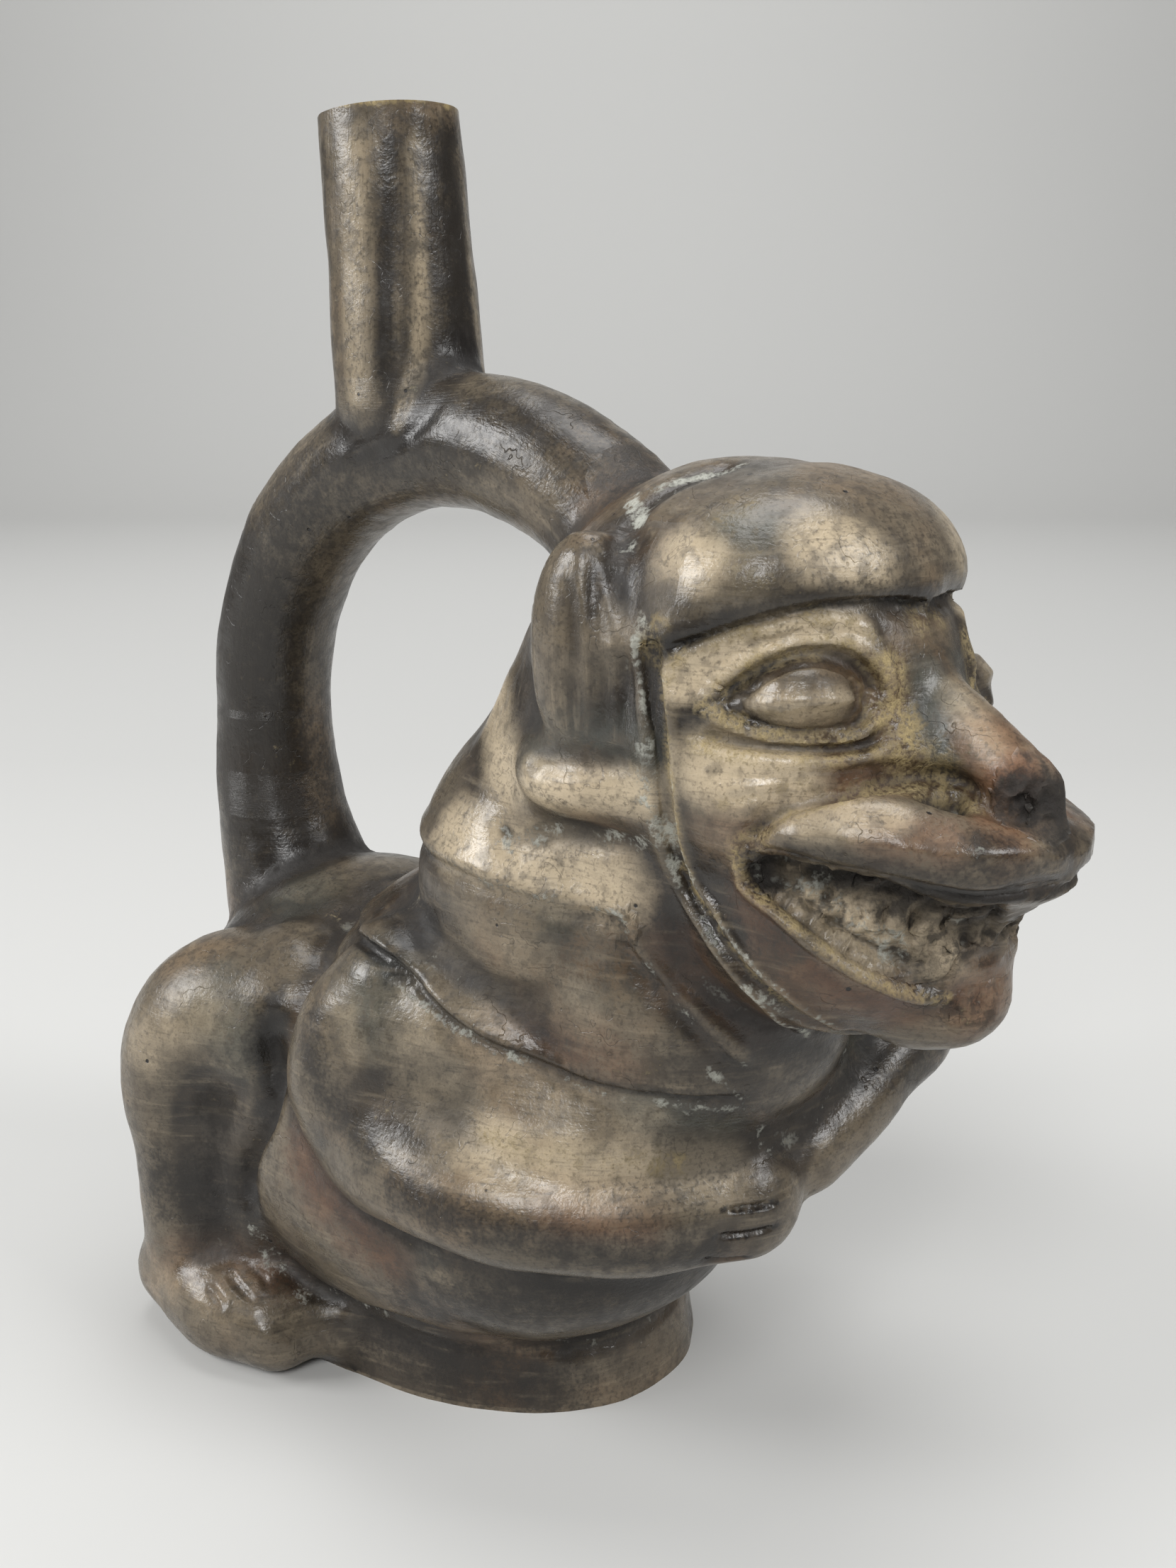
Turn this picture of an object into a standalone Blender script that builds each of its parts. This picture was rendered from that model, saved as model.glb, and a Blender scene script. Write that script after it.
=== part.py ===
"""Stirrup spout vessel: a hollow blackware bottle in the form of a crouching figure.

One fired clay piece. The body is pressed out of soft forms that run into each other, so each
form is a primitive or a swept tube, the forms are fused by a voxel remesh, and the carving is
pushed into the fused skin along short lines. The chamber is fused in the same way from the same
sizes less the wall, and is cut out together with the stirrup's and the spout's bore.

Frame: +Z up, the figure looks along -Y, its right side is at -X. Places and radii inside the
figure are written as (side, forward, height) in units of a 165th of its height.
"""
from math import cos, pi, sin, sqrt

import bpy
import bmesh
from mathutils import Vector
from mathutils.bvhtree import BVHTree
from mathutils.kdtree import KDTree

MM = 0.001

# Driving sizes
FIGURE_HEIGHT = 165 * MM        # from the ground to the crown of the head
WALL = 5.0 * MM                 # clay left between the chamber and the outer face
TUBE_DIAMETER = 23 * MM         # outside of the stirrup tube
TUBE_WALL = 4.0 * MM            # wall of the stirrup tube and of the spout
SPOUT_LENGTH = 42.5 * MM        # from the crown of the stirrup to the rim, along the spout
SPOUT_TOP_DIAMETER = 24 * MM    # outside, at the rim
SPOUT_FOOT_DIAMETER = 26 * MM   # outside, where it meets the stirrup
BASE_HEIGHT = 12 * MM           # the low foot that the body stands on
GROOVE_DEPTH = 1.3 * MM         # incised lines
MOUTH_DEPTH = 4.2 * MM          # how far the open mouth is sunk
MOUTH_EDGE = 1.8 * MM           # width of the slope around it
RIM_CUTTER = 60 * MM            # edge of the block that cuts the spout off at its rim

# Mesh density
OUTER_VOXEL = 1.7 * MM
INNER_VOXEL = 3.0 * MM
OUTER_TRIANGLES = 8200
INNER_TRIANGLES = 1500

UNIT = FIGURE_HEIGHT / 165

# Stirrup in units: half of an upright ellipse, its rear leg in the rump and its front leg in the head
ARCH = {"forward": 17.5, "height": 112, "reach": 56.5, "rise": 53.7, "spout": 4.5}
HEAD_ROLL = 0.07                # the head hangs a little to its left, as a slope
SPOUT_LEAN = 0.085              # backward lean of the spout, as a slope
FACE = {"forward": 86, "height": 84}        # beyond both, the skin keeps the most triangles
BASE = {"centre": (5, 8, 0), "side": 36.5, "forward": 52, "taper": 0.94, "sunk": 4}
HAIR = (((0, 78, 134), (33.5, 32.5, 31.5)), ((0, 88, 148.8), (28, 20.8, 16)))
HAIR_EDGE = ((0, 78, 141), (0, -0.25, -1))  # plane that ends it below: a point, and the way that is cut off


def at(place):
    """A point of the figure, (side, forward, height), in the part's frame."""
    side, forward, height = place
    return Vector((side * UNIT, -forward * UNIT, height * UNIT))


def start():
    for old in list(bpy.data.objects):
        bpy.data.objects.remove(old)
    folders = {}
    for name in ("stirrup_spout_vessel", "cutters"):
        folder = bpy.data.collections.get(name) or bpy.data.collections.new(name)
        if name not in bpy.context.scene.collection.children:
            bpy.context.scene.collection.children.link(folder)
        folders[name] = folder
    return folders


def keep(name, mesh, folder):
    item = bpy.data.objects.new(name, mesh)
    folder.objects.link(item)
    return item


def ball(centre, radii, folder):
    """An ellipsoid; radii are its half sizes to the side, forward and up."""
    bm = bmesh.new()
    bmesh.ops.create_uvsphere(bm, u_segments=40, v_segments=24, radius=1.0)
    for v in bm.verts:
        v.co = Vector((v.co.x * radii[0], v.co.y * radii[1], v.co.z * radii[2])) * UNIT
        v.co += at(centre)
    mesh = bpy.data.meshes.new("ball")
    bm.to_mesh(mesh)
    bm.free()
    return keep("ball", mesh, folder)


def tube(points, radii, folder, grow=0.0):
    """A round limb swept through points, with its own radius at each."""
    curve = bpy.data.curves.new("tube", "CURVE")
    curve.dimensions = "3D"
    curve.bevel_depth = 1.0
    curve.bevel_resolution = 5
    curve.resolution_u = 8
    curve.use_fill_caps = True
    spline = curve.splines.new("BEZIER")
    spline.bezier_points.add(len(points) - 1)
    for knot, place, radius in zip(spline.bezier_points, points, radii):
        knot.co = at(place)
        knot.radius = radius * UNIT + grow
        knot.handle_left_type = knot.handle_right_type = "AUTO"
    item = bpy.data.objects.new("tube", curve)
    folder.objects.link(item)
    bpy.context.view_layer.update()
    mesh = bpy.data.meshes.new_from_object(item.evaluated_get(bpy.context.evaluated_depsgraph_get()))
    bpy.data.objects.remove(item)
    weld(mesh)
    solid = keep("tube", mesh, folder)
    ends = []
    for place, radius in ((points[0], radii[0]), (points[-1], radii[-1])):
        r = radius + grow / UNIT
        ends.append(ball(place, (r, r, r), folder))
    return [solid] + ends


def weld(mesh):
    bm = bmesh.new()
    bm.from_mesh(mesh)
    bmesh.ops.remove_doubles(bm, verts=bm.verts, dist=0.00001)
    bmesh.ops.recalc_face_normals(bm, faces=bm.faces)
    bm.to_mesh(mesh)
    bm.free()


def trim(item, point, normal):
    """Cuts off what lies on the normal's side of a plane and closes the cut."""
    bm = bmesh.new()
    bm.from_mesh(item.data)
    found = bmesh.ops.bisect_plane(bm, geom=bm.verts[:] + bm.edges[:] + bm.faces[:],
                                   plane_co=point, plane_no=normal, clear_outer=True)
    rim = [e for e in found["geom_cut"] if isinstance(e, bmesh.types.BMEdge)]
    bmesh.ops.edgeloop_fill(bm, edges=rim)
    bmesh.ops.recalc_face_normals(bm, faces=bm.faces)
    bm.to_mesh(item.data)
    bm.free()
    return item


def apply_modifiers(item):
    mesh = bpy.data.meshes.new_from_object(item.evaluated_get(bpy.context.evaluated_depsgraph_get()))
    item.modifiers.clear()
    old = item.data
    item.data = mesh
    bpy.data.meshes.remove(old)


def fuse(name, items, voxel, smoothing, folder):
    """Runs overlapping solids into one skin."""
    bm = bmesh.new()
    for item in items:
        bm.from_mesh(item.data)
        bpy.data.objects.remove(item)
    mesh = bpy.data.meshes.new(name)
    bm.to_mesh(mesh)
    bm.free()
    item = keep(name, mesh, folder)
    remesh = item.modifiers.new("fuse", "REMESH")
    remesh.mode = "VOXEL"
    remesh.voxel_size = voxel
    remesh.adaptivity = 0.0
    if smoothing:
        smooth = item.modifiers.new("smooth", "SMOOTH")
        smooth.factor = 0.5
        smooth.iterations = smoothing
    bpy.context.view_layer.update()
    apply_modifiers(item)
    return item


def mirror(points):
    return [(-side, forward, height) for side, forward, height in points]


def arch_points():
    """Stirrup centreline from inside the rump over the crown into the head."""
    forward, reach = ARCH["forward"], ARCH["reach"]
    points = [(0, forward - reach + 6, 74), (0, forward - reach + 1, 92)]
    for step in range(10):
        turn = pi * step / 12
        points.append((0, forward - reach * cos(turn), ARCH["height"] + ARCH["rise"] * sin(turn)))
    return points


def arch_crown():
    share = (ARCH["spout"] - ARCH["forward"]) / ARCH["reach"]
    return ARCH["height"] + ARCH["rise"] * sqrt(1 - share * share)


def stirrup(grow, folder):
    """The arch and the spout as overlapping tubes, thinned by -grow."""
    tube_radius = TUBE_DIAMETER / 2 / UNIT
    points = arch_points()
    radii = [tube_radius + 4, tube_radius + 1.5] + [tube_radius] * (len(points) - 2)
    items = tube(points, radii, folder, grow)
    crown = arch_crown()
    rise = SPOUT_LENGTH / UNIT
    past = 12 if grow < 0 else 6
    flare = (0, ARCH["spout"], crown)
    foot = (0, ARCH["spout"], crown + tube_radius * 0.6)
    top = (0, ARCH["spout"] - SPOUT_LEAN * rise, crown + tube_radius + rise)
    up = (0, top[1] - SPOUT_LEAN * past, top[2] + past)
    top_radius = SPOUT_TOP_DIAMETER / 2 / UNIT
    foot_radius = SPOUT_FOOT_DIAMETER / 2 / UNIT
    items += tube([flare, foot, top, up], [foot_radius, foot_radius, top_radius, top_radius], folder, grow)
    return items, top


def rolled(places):
    """Head places with its left side let down a little."""
    return [(side, forward, height - HEAD_ROLL * side) for side, forward, height in places]


def outer_forms(folder):
    def head(place, radii):
        return ball(rolled([place])[0], radii, folder)

    items = [
        ball((0, 16, 42), (42, 56, 40), folder),            # pot body
        ball((0, 36, 38), (38, 38, 27), folder),            # belly over the foot
        ball((0, -12, 50), (36, 36, 35), folder),           # rump
        ball((0, 38, 74), (40, 38, 24), folder),            # shoulders under the cape
        ball((0, 52, 60), (38, 35, 32), folder),            # chest
        ball((8, 66, 66), (30, 24, 24), folder),            # breast under the chin
        head((0, 78, 130), (31, 34, 34)),                   # head
        head((0, 91, 122), (29, 25, 22)),                   # cheeks
        head((0, 97, 105.5), (26, 26.8, 22)),               # jaws
        head((0, 106.5, 97), (12.5, 14, 13)),               # chin
    ]
    items += tube([(0, 68, 128), (0, 58, 112), (0, 51, 97)], [28, 28, 32], folder)      # nape cloth
    items += tube([(0, 76, 118), (0, 68, 98), (0, 66, 82)], [26, 27, 29], folder)       # neck
    for centre, radii in HAIR:
        items.append(trim(head(centre, radii), at(HAIR_EDGE[0]), Vector(HAIR_EDGE[1]).normalized()))
    items += tube(rolled([(0, 100, 138.5), (0, 112, 131), (0, 122.5, 122.5)]), [4, 6, 7], folder)      # nose
    items += tube(rolled([(-25.5, 95, 115.5), (-20.5, 110, 118), (-9, 123.5, 114.8),
                          (9, 123.5, 114.8), (20.5, 110, 118), (25.5, 95, 115.5)]),
                  [3.2, 5, 6.3, 6.3, 5, 3.2], folder)                                    # upper lip
    for side in (-1, 1):
        items.append(head((side * 27, 70, 138), (7, 9, 17)))                             # side lock
        items.append(head((side * 26.5, 68, 119.5), (7, 11.5, 6.5)))                     # ear knot
        items.append(head((side * 18, 99.5, 136), (8, 8.5, 5.5)))                        # eye
        items += tube([(side * 37, -20, 12), (side * 35, -21, 34),
                       (side * 32, -19, 58), (side * 22, -4, 62)], [11, 13, 16, 18], folder)    # leg
        items.append(ball((side * 28, -14, 30), (14, 18, 30), folder))                   # calf
        items += tube([(side * 38, -24, 10), (side * 40, -8, 9), (side * 38, 3, 8)],
                      [10, 10, 8.5], folder)                                             # foot
        items += tube([(side * 36, -2, 8), (side * 29, 10, 7)], [8, 6.5], folder)        # heel
    items += tube([(-28, 32, 80), (-34, 24, 66), (-33, 26, 56),
                   (-38, 46, 54), (-27, 70, 51), (-6, 83, 51.5)],
                  [12, 11.5, 11.5, 9.5, 9, 10.5], folder)                                # right arm
    items += tube([(26, 48, 84), (36, 72, 76), (41, 83, 71), (26, 88, 62.5), (6, 87, 55)],
                  [13, 12, 10.5, 7, 7], folder)                                          # left arm
    return items


def base(folder):
    bm = bmesh.new()
    depth = BASE_HEIGHT + 2 * BASE["sunk"] * UNIT
    bmesh.ops.create_cone(bm, cap_ends=True, segments=56, radius1=1.0, radius2=BASE["taper"], depth=1.0)
    for v in bm.verts:
        v.co.x *= BASE["side"] * UNIT
        v.co.y *= BASE["forward"] * UNIT
        v.co.z = (v.co.z + 0.5) * depth - BASE["sunk"] * UNIT
        v.co += at(BASE["centre"])
    mesh = bpy.data.meshes.new("base")
    bm.to_mesh(mesh)
    bm.free()
    return keep("base", mesh, folder)


def chamber_forms(folder):
    """The space inside: the same forms, smaller by the wall."""
    wall = WALL / UNIT

    def room(centre, radii, extra=0.0):
        return ball(centre, [r - wall - extra for r in radii], folder)

    items = [
        room((0, 16, 43), (42, 56, 40), 1.2),               # pot body
        room((0, -12, 50), (36, 36, 35)),                   # rump
        room((0, 38, 74), (40, 38, 24), 1),                 # shoulders
        room((0, 52, 60), (38, 35, 32)),                    # chest
        room((0, 76, 132), (31, 34, 34), 0.5),              # head
        room((0, 90, 108), (27, 28, 23), 5),                # jaws
    ]
    items += tube([(0, 72, 124), (0, 62, 108), (0, 54, 90)], [26, 26, 28], folder, -WALL)   # neck
    return items


def snapped(points, tree):
    """Smooth run of points on the skin through a few places near it."""
    places = [at(p) for p in points]
    run = []
    for i in range(len(places) - 1):
        before = places[max(i - 1, 0)]
        start, end = places[i], places[i + 1]
        after = places[min(i + 2, len(places) - 1)]
        steps = max(2, int((end - start).length / (1.0 * MM)))
        for step in range(steps):
            t = step / steps
            co = 0.5 * (2 * start + (end - before) * t + (2 * before - 5 * start + 4 * end - after) * t * t
                        + (3 * start - before - 3 * end + after) * t ** 3)
            run.append(tree.find_nearest(co)[0])
    run.append(tree.find_nearest(places[-1])[0])
    return run


def groove(share):
    return -(1 - share * share) ** 2


def ridge(share):
    return (1 - share * share) ** 2


def cord(share):
    """A raised line with an incised line at each side."""
    return (1 - share * share) * (1 - 3.2 * share * share)


def carve(item, lines):
    """Pushes the skin in or out along lines: (points, half width in mm, depth, profile)."""
    bm = bmesh.new()
    bm.from_mesh(item.data)
    bm.normal_update()
    tree = BVHTree.FromBMesh(bm)
    moves = {}
    for points, width, depth, profile in lines:
        run = snapped(points, tree)
        near = KDTree(len(run))
        for i, co in enumerate(run):
            near.insert(co, i)
        near.balance()
        reach = width * UNIT
        for v in bm.verts:
            distance = near.find(v.co)[2]
            if distance < reach:
                moves[v.index] = moves.get(v.index, 0.0) + depth * profile(distance / reach)
    bm.verts.ensure_lookup_table()
    normals = {i: bm.verts[i].normal.copy() for i in moves}
    for i, move in moves.items():
        bm.verts[i].co += normals[i] * move
    bm.to_mesh(item.data)
    bm.free()


def sink(item, outline, depth, edge):
    """Sinks the region inside an outline drawn in the side view, on both sides of the face."""
    corners = [(f * UNIT, z * UNIT) for f, z in outline]
    sides = list(zip(corners, corners[1:] + corners[:1]))

    def inside(f, z):
        hit = False
        for (f1, z1), (f2, z2) in sides:
            if (z1 > z) != (z2 > z) and f < (f2 - f1) * (z - z1) / (z2 - z1) + f1:
                hit = not hit
        return hit

    def to_edge(f, z):
        best = 1.0
        for (f1, z1), (f2, z2) in sides:
            length = (f2 - f1) ** 2 + (z2 - z1) ** 2
            t = max(0.0, min(1.0, ((f - f1) * (f2 - f1) + (z - z1) * (z2 - z1)) / length))
            best = min(best, ((f - f1 - t * (f2 - f1)) ** 2 + (z - z1 - t * (z2 - z1)) ** 2) ** 0.5)
        return best

    moves = []
    for v in item.data.vertices:
        f, z = -v.co.y, v.co.z + HEAD_ROLL * v.co.x
        if inside(f, z):
            share = min(1.0, to_edge(f, z) / edge)
            moves.append((v.index, v.normal.copy() * depth * share * share * (3 - 2 * share)))
    for i, move in moves:
        item.data.vertices[i].co -= move


def carving():
    """Lines of the figure; those of the head and the legs are on both sides."""
    deep = GROOVE_DEPTH
    paired = [
        # edge of the fringe, face band, eyelid, fold under the eye, fold over the lip
        ([(-9, 76, 165), (-22, 75, 158), (-30, 80, 148), (-31, 85, 141)], 2.6, deep, groove),
        ([(-30, 79, 148), (-31, 84, 140), (-31, 86, 131), (-30, 87, 121), (-28, 87, 112), (-26, 91, 100),
          (-22, 98, 91), (-14, 105, 85), (0, 108, 82)], 3.6, deep, cord),
        ([(-29, 93, 132.5), (-28, 99, 137), (-24, 105, 140), (-17, 108, 140), (-12, 110, 135),
          (-17, 109, 130.5), (-24, 105, 129.5), (-28, 99, 130.5), (-29, 93, 132.5)], 2.4, deep, ridge),
        ([(-30, 92, 128), (-25, 101, 126.5), (-17, 108, 127)], 2.2, deep, groove),
        ([(-28, 97, 120), (-24, 104, 123.5), (-17, 110, 125), (-10, 115, 124)], 2.4, deep, groove),
    ]
    lines = []
    for points, width, depth, profile in paired:
        for line in (points, mirror(points)):
            lines.append((rolled(line), width, depth, profile))
    for across, back in ((25, 103), (22, 109), (18, 115), (12, 120), (4, 123)):          # teeth
        for side in (-1, 1):
            gap = [(side * across, back, 111), (side * across, back - 1, 101)]
            lines.append((rolled(gap), 1.7, deep, groove))
    for z, back in ((56, 87), (51.5, 86), (47, 83)):                                     # fingers
        lines.append(([(-17, back, z - 1), (-8, back + 6, z)], 1.9, deep, groove))
    for side in (-1, 1):
        for across, back in ((46, -6), (43, -5), (39, -3)):                              # toes
            lines.append(([(side * across, back, 17), (side * across, back + 8, 13)], 1.9, deep, groove))
        lines.append(([(side * 37, 4, 70), (side * 38, 5, 56), (side * 40, 2, 44), (side * 39, -3, 30)],
                      4.0, 2 * deep, groove))                                            # thigh crease
        lines.append(([(side * 20, 4, 88), (side * 37, 36, 87), (side * 36, 51, 81), (side * 31, 62, 75),
                       (side * 26, 74, 71), (side * 14, 84, 68), (0, 88, 66)], 2.6, deep, groove))   # cape
        lines.append(([(side * 14, 26, 103), (side * 28, 40, 103), (side * 30, 52, 103), (side * 28, 64, 101),
                       (side * 22, 74, 98), (side * 16, 78, 88), (side * 6, 84, 76)],
                      2.8, deep, groove))                                                # nape
    return lines


MOUTH = [(96, 115), (108, 114), (118, 112), (134, 110), (134, 97), (125, 96), (118, 97.5), (112, 101),
         (106, 104.5), (100, 108), (96, 111)]


def cutter(name, mesh, folder):
    item = keep(name, mesh, folder)
    item.hide_render = True
    item.display_type = "WIRE"
    return item


def block(name, centre, size, turn, folder):
    bm = bmesh.new()
    bmesh.ops.create_cube(bm, size=1.0)
    for v in bm.verts:
        v.co = Vector((v.co.x * size[0], v.co.y * size[1], v.co.z * size[2]))
        v.co.rotate(turn)
        v.co += centre
    mesh = bpy.data.meshes.new(name)
    bm.to_mesh(mesh)
    bm.free()
    return cutter(name, mesh, folder)


def thin(item, triangles, finest=None):
    """Keeps the shape with about this many triangles, the most of them in the finest part."""
    now = sum(len(p.vertices) - 2 for p in item.data.polygons)
    modifier = item.modifiers.new("thin", "DECIMATE")
    modifier.ratio = min(1.0, triangles / now)
    if finest:
        group = item.vertex_groups.new(name="plain")
        for v in item.data.vertices:
            group.add([v.index], 0.35 if finest(v.co) else 1.0, "REPLACE")
        modifier.vertex_group = group.name
        modifier.vertex_group_factor = 0.00002
    bpy.context.view_layer.update()
    apply_modifiers(item)


def cut(item, tool):
    modifier = item.modifiers.new(tool.name, "BOOLEAN")
    modifier.operation = "DIFFERENCE"
    modifier.solver = "EXACT"
    modifier.object = tool


def fired_clay():
    material = bpy.data.materials.new("blackware_ceramic")
    material.use_nodes = True
    shader = material.node_tree.nodes["Principled BSDF"]
    shader.inputs["Base Color"].default_value = (0.115, 0.095, 0.08, 1)
    shader.inputs["Roughness"].default_value = 0.38
    shader.inputs["Metallic"].default_value = 0.0
    return material


def build():
    folders = start()
    work = folders["cutters"]
    pipes, rim = stirrup(0.0, work)
    vessel = fuse("vessel", outer_forms(work) + [base(work)] + pipes, OUTER_VOXEL, 4,
                  folders["stirrup_spout_vessel"])
    sink(vessel, MOUTH, MOUTH_DEPTH, MOUTH_EDGE)
    carve(vessel, carving())
    thin(vessel, OUTER_TRIANGLES, lambda co: co.y < -FACE["forward"] * UNIT and co.z > FACE["height"] * UNIT)

    bores, _ = stirrup(-TUBE_WALL, work)
    chamber = fuse("chamber", chamber_forms(work) + bores, INNER_VOXEL, 2, work)
    thin(chamber, INNER_TRIANGLES)
    chamber.hide_render = True
    chamber.display_type = "WIRE"
    cut(vessel, chamber)

    rim_turn = Vector((0, SPOUT_LEAN, 1)).to_track_quat("Z", "Y")
    up = rim_turn @ Vector((0, 0, 1))
    cut(vessel, block("rim_cut", at(rim) + up * RIM_CUTTER / 2, (RIM_CUTTER,) * 3, rim_turn, work))
    wide = 3 * FIGURE_HEIGHT
    level = Vector((0, 0, 1)).to_track_quat("Z", "Y")
    cut(vessel, block("ground_cut", Vector((0, 0, -wide / 2)), (wide, wide, wide), level, work))
    vessel.data.materials.append(fired_clay())

    centre = bpy.data.objects.new("middle_of_the_ground", None)
    folders["stirrup_spout_vessel"].objects.link(centre)
    for item in [vessel] + list(work.objects):
        item.parent = centre
    bpy.context.view_layer.update()
    shape = vessel.evaluated_get(bpy.context.evaluated_depsgraph_get()).to_mesh()
    for axis in (0, 1):
        values = [v.co[axis] for v in shape.vertices]
        centre.location[axis] = -(min(values) + max(values)) / 2
    bpy.context.view_layer.update()


build()
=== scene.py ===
from math import cos, pi, radians, sin, sqrt

import bpy
import numpy as np
from mathutils import Matrix, Vector, noise
from mathutils.bvhtree import BVHTree


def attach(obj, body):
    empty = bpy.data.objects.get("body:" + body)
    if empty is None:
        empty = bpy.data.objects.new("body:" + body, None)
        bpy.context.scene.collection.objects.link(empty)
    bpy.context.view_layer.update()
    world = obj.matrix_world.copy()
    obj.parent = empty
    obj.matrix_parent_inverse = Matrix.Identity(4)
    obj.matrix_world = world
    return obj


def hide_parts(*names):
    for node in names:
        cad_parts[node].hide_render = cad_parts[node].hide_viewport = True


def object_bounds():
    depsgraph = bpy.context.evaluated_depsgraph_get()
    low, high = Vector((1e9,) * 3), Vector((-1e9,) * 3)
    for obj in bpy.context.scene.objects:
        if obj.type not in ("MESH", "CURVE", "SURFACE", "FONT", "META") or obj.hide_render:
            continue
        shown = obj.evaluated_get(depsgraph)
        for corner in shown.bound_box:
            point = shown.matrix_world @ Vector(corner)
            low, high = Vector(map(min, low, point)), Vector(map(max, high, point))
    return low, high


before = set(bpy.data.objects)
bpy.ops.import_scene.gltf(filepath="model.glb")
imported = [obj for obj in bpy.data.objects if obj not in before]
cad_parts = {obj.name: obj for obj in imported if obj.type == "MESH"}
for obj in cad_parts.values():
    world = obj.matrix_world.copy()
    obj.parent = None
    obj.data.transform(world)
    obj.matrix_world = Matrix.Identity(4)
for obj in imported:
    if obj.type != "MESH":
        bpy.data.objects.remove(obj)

mm = 0.001
cadBounds = [list(corner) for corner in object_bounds()]
# Where the figure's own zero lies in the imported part, in millimetres
figure = {"sideShift": -0.95, "forwardShift": 40.29}


def place(spot):
    side, forward = (spot[0] + figure["sideShift"]) * mm, (figure["forwardShift"] - spot[1]) * mm
    return Vector((side, forward, spot[2] * mm))


# The photograph's view; a place in the photograph is (across, down) in its pixels
photo = {"width": 1659, "height": 2212}
view = {"azimuth": -48.0, "pitch": 15.0, "height": 179.0, "distance": 286.0, "offset": 34.1, "lens": 36.456,
        "sensor": 36.0}


# Direction away from the vessel, by its turn from the front and its rise in degrees
def heading(turn, rise=0):
    turn, rise = radians(turn), radians(rise)
    return Vector((sin(turn) * cos(rise), -cos(turn) * cos(rise), sin(rise)))


def viewFrame():
    turn = radians(view["azimuth"])
    right = Vector((cos(turn), sin(turn), 0))
    back = heading(view["azimuth"], view["pitch"])
    away = right * view["offset"] + heading(view["azimuth"]) * view["distance"]
    return place((0, 0, view["height"])) + away * mm, right, back.cross(right), back


def addCamera():
    eye, right, up, back = viewFrame()
    bpy.ops.object.camera_add(location=eye)
    camera = bpy.context.object
    camera.rotation_euler = Matrix((right, up, back)).transposed().to_euler()
    camera.data.lens = view["lens"]
    camera.data.sensor_width = view["sensor"]
    camera.data.clip_start = 0.01
    bpy.context.scene.camera = camera


def seenOn(skin, pixel):
    eye, right, up, back = viewFrame()
    step = view["sensor"] / max(photo["width"], photo["height"]) / view["lens"]
    across, down = (pixel[0] - photo["width"] / 2) * step, (pixel[1] - photo["height"] / 2) * step
    hit = skin.ray_cast(eye, (right * across - up * down - back).normalized())[0]
    return hit and (hit.x / mm - figure["sideShift"], figure["forwardShift"] - hit.y / mm, hit.z / mm)


def takeOnly(*pieces):
    if bpy.context.object and bpy.context.object.mode != "OBJECT":
        bpy.ops.object.mode_set(mode="OBJECT")
    bpy.ops.object.select_all(action="DESELECT")
    for piece in pieces:
        piece.select_set(True)
    bpy.context.view_layer.objects.active = pieces[0]


def skinOf(piece):
    return BVHTree.FromObject(piece, bpy.context.evaluated_depsgraph_get())


def applyModifier(piece, kind, **settings):
    takeOnly(piece)
    bpy.ops.object.modifier_add(type=kind)
    added = piece.modifiers[-1]
    for name, value in settings.items():
        setattr(added, name, value)
    bpy.ops.object.modifier_apply(modifier=added.name)


# Selects the chosen faces or vertices, and leaves the piece in edit mode
def pick(piece, kind, chosen):
    takeOnly(piece)
    bpy.ops.object.mode_set(mode="EDIT")
    bpy.ops.mesh.select_mode(type=kind)
    bpy.ops.mesh.select_all(action="DESELECT")
    bpy.ops.object.mode_set(mode="OBJECT")
    parts = piece.data.polygons if kind == "FACE" else piece.data.vertices
    parts.foreach_set("select", chosen)
    bpy.ops.object.mode_set(mode="EDIT")


# Soft forms
def addBall(centre, radii):
    bpy.ops.mesh.primitive_uv_sphere_add(segments=48, ring_count=28, radius=1)
    ball = bpy.context.object
    ball.scale = [radius * mm for radius in radii]
    ball.location = place(centre)
    bpy.ops.object.transform_apply(location=True, rotation=True, scale=True)
    return ball


def addLimb(points, radii, thinner=0.0):
    bpy.ops.curve.primitive_bezier_curve_add()
    limb = bpy.context.object
    limb.data.bevel_depth = 1
    limb.data.bevel_resolution = 6
    limb.data.resolution_u = 10
    limb.data.use_fill_caps = True
    spline = limb.data.splines[0]
    spline.bezier_points.add(len(points) - 2)
    for knot, spot, radius in zip(spline.bezier_points, points, radii):
        knot.co = place(spot)
        knot.radius = (radius - thinner) * mm
        knot.handle_left_type = knot.handle_right_type = "AUTO"
    bpy.ops.object.convert(target="MESH")
    limb = bpy.context.object
    caps = [addBall(points[end], [radii[end] - thinner] * 3) for end in (0, -1)]
    return [limb] + caps


# The head hangs a little to the figure's left
def rolled(spot, turn=1):
    side, forward, height = spot
    return (side, forward, height - turn * head["roll"] * side)


def fuse(pieces, name, grain, passes):
    takeOnly(*pieces)
    bpy.ops.object.join()
    whole = bpy.context.object
    whole.name = name
    applyModifier(whole, "REMESH", mode="VOXEL", voxel_size=grain * mm)
    applyModifier(whole, "SMOOTH", factor=0.5, iterations=passes)
    return whole


# Stirrup and spout
stirrup = {
    "centre": (17.5, 112),      # forward, height
    "halfWidth": 56.5,
    "halfHeight": 53.7,
    "tubeRadius": 11.5,
    "tubeWall": 4.0,
    "spoutForward": 4.5,
    "spoutLean": 0.085,
    "spoutLength": 42.5,
    "spoutTopRadius": 12.0,
    "spoutFootRadius": 13.3,
    "spoutPast": 6,             # how far it runs on past the rim before the rim is cut
    "rearEnd": [(6, 74, 4), (1, 92, 1.5)],    # in the rump: ahead of the arch's end, height, wider by
    "steps": 12,                # half a turn of the arch, of which the head hides the last
    "stepsShown": 10,
}


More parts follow.
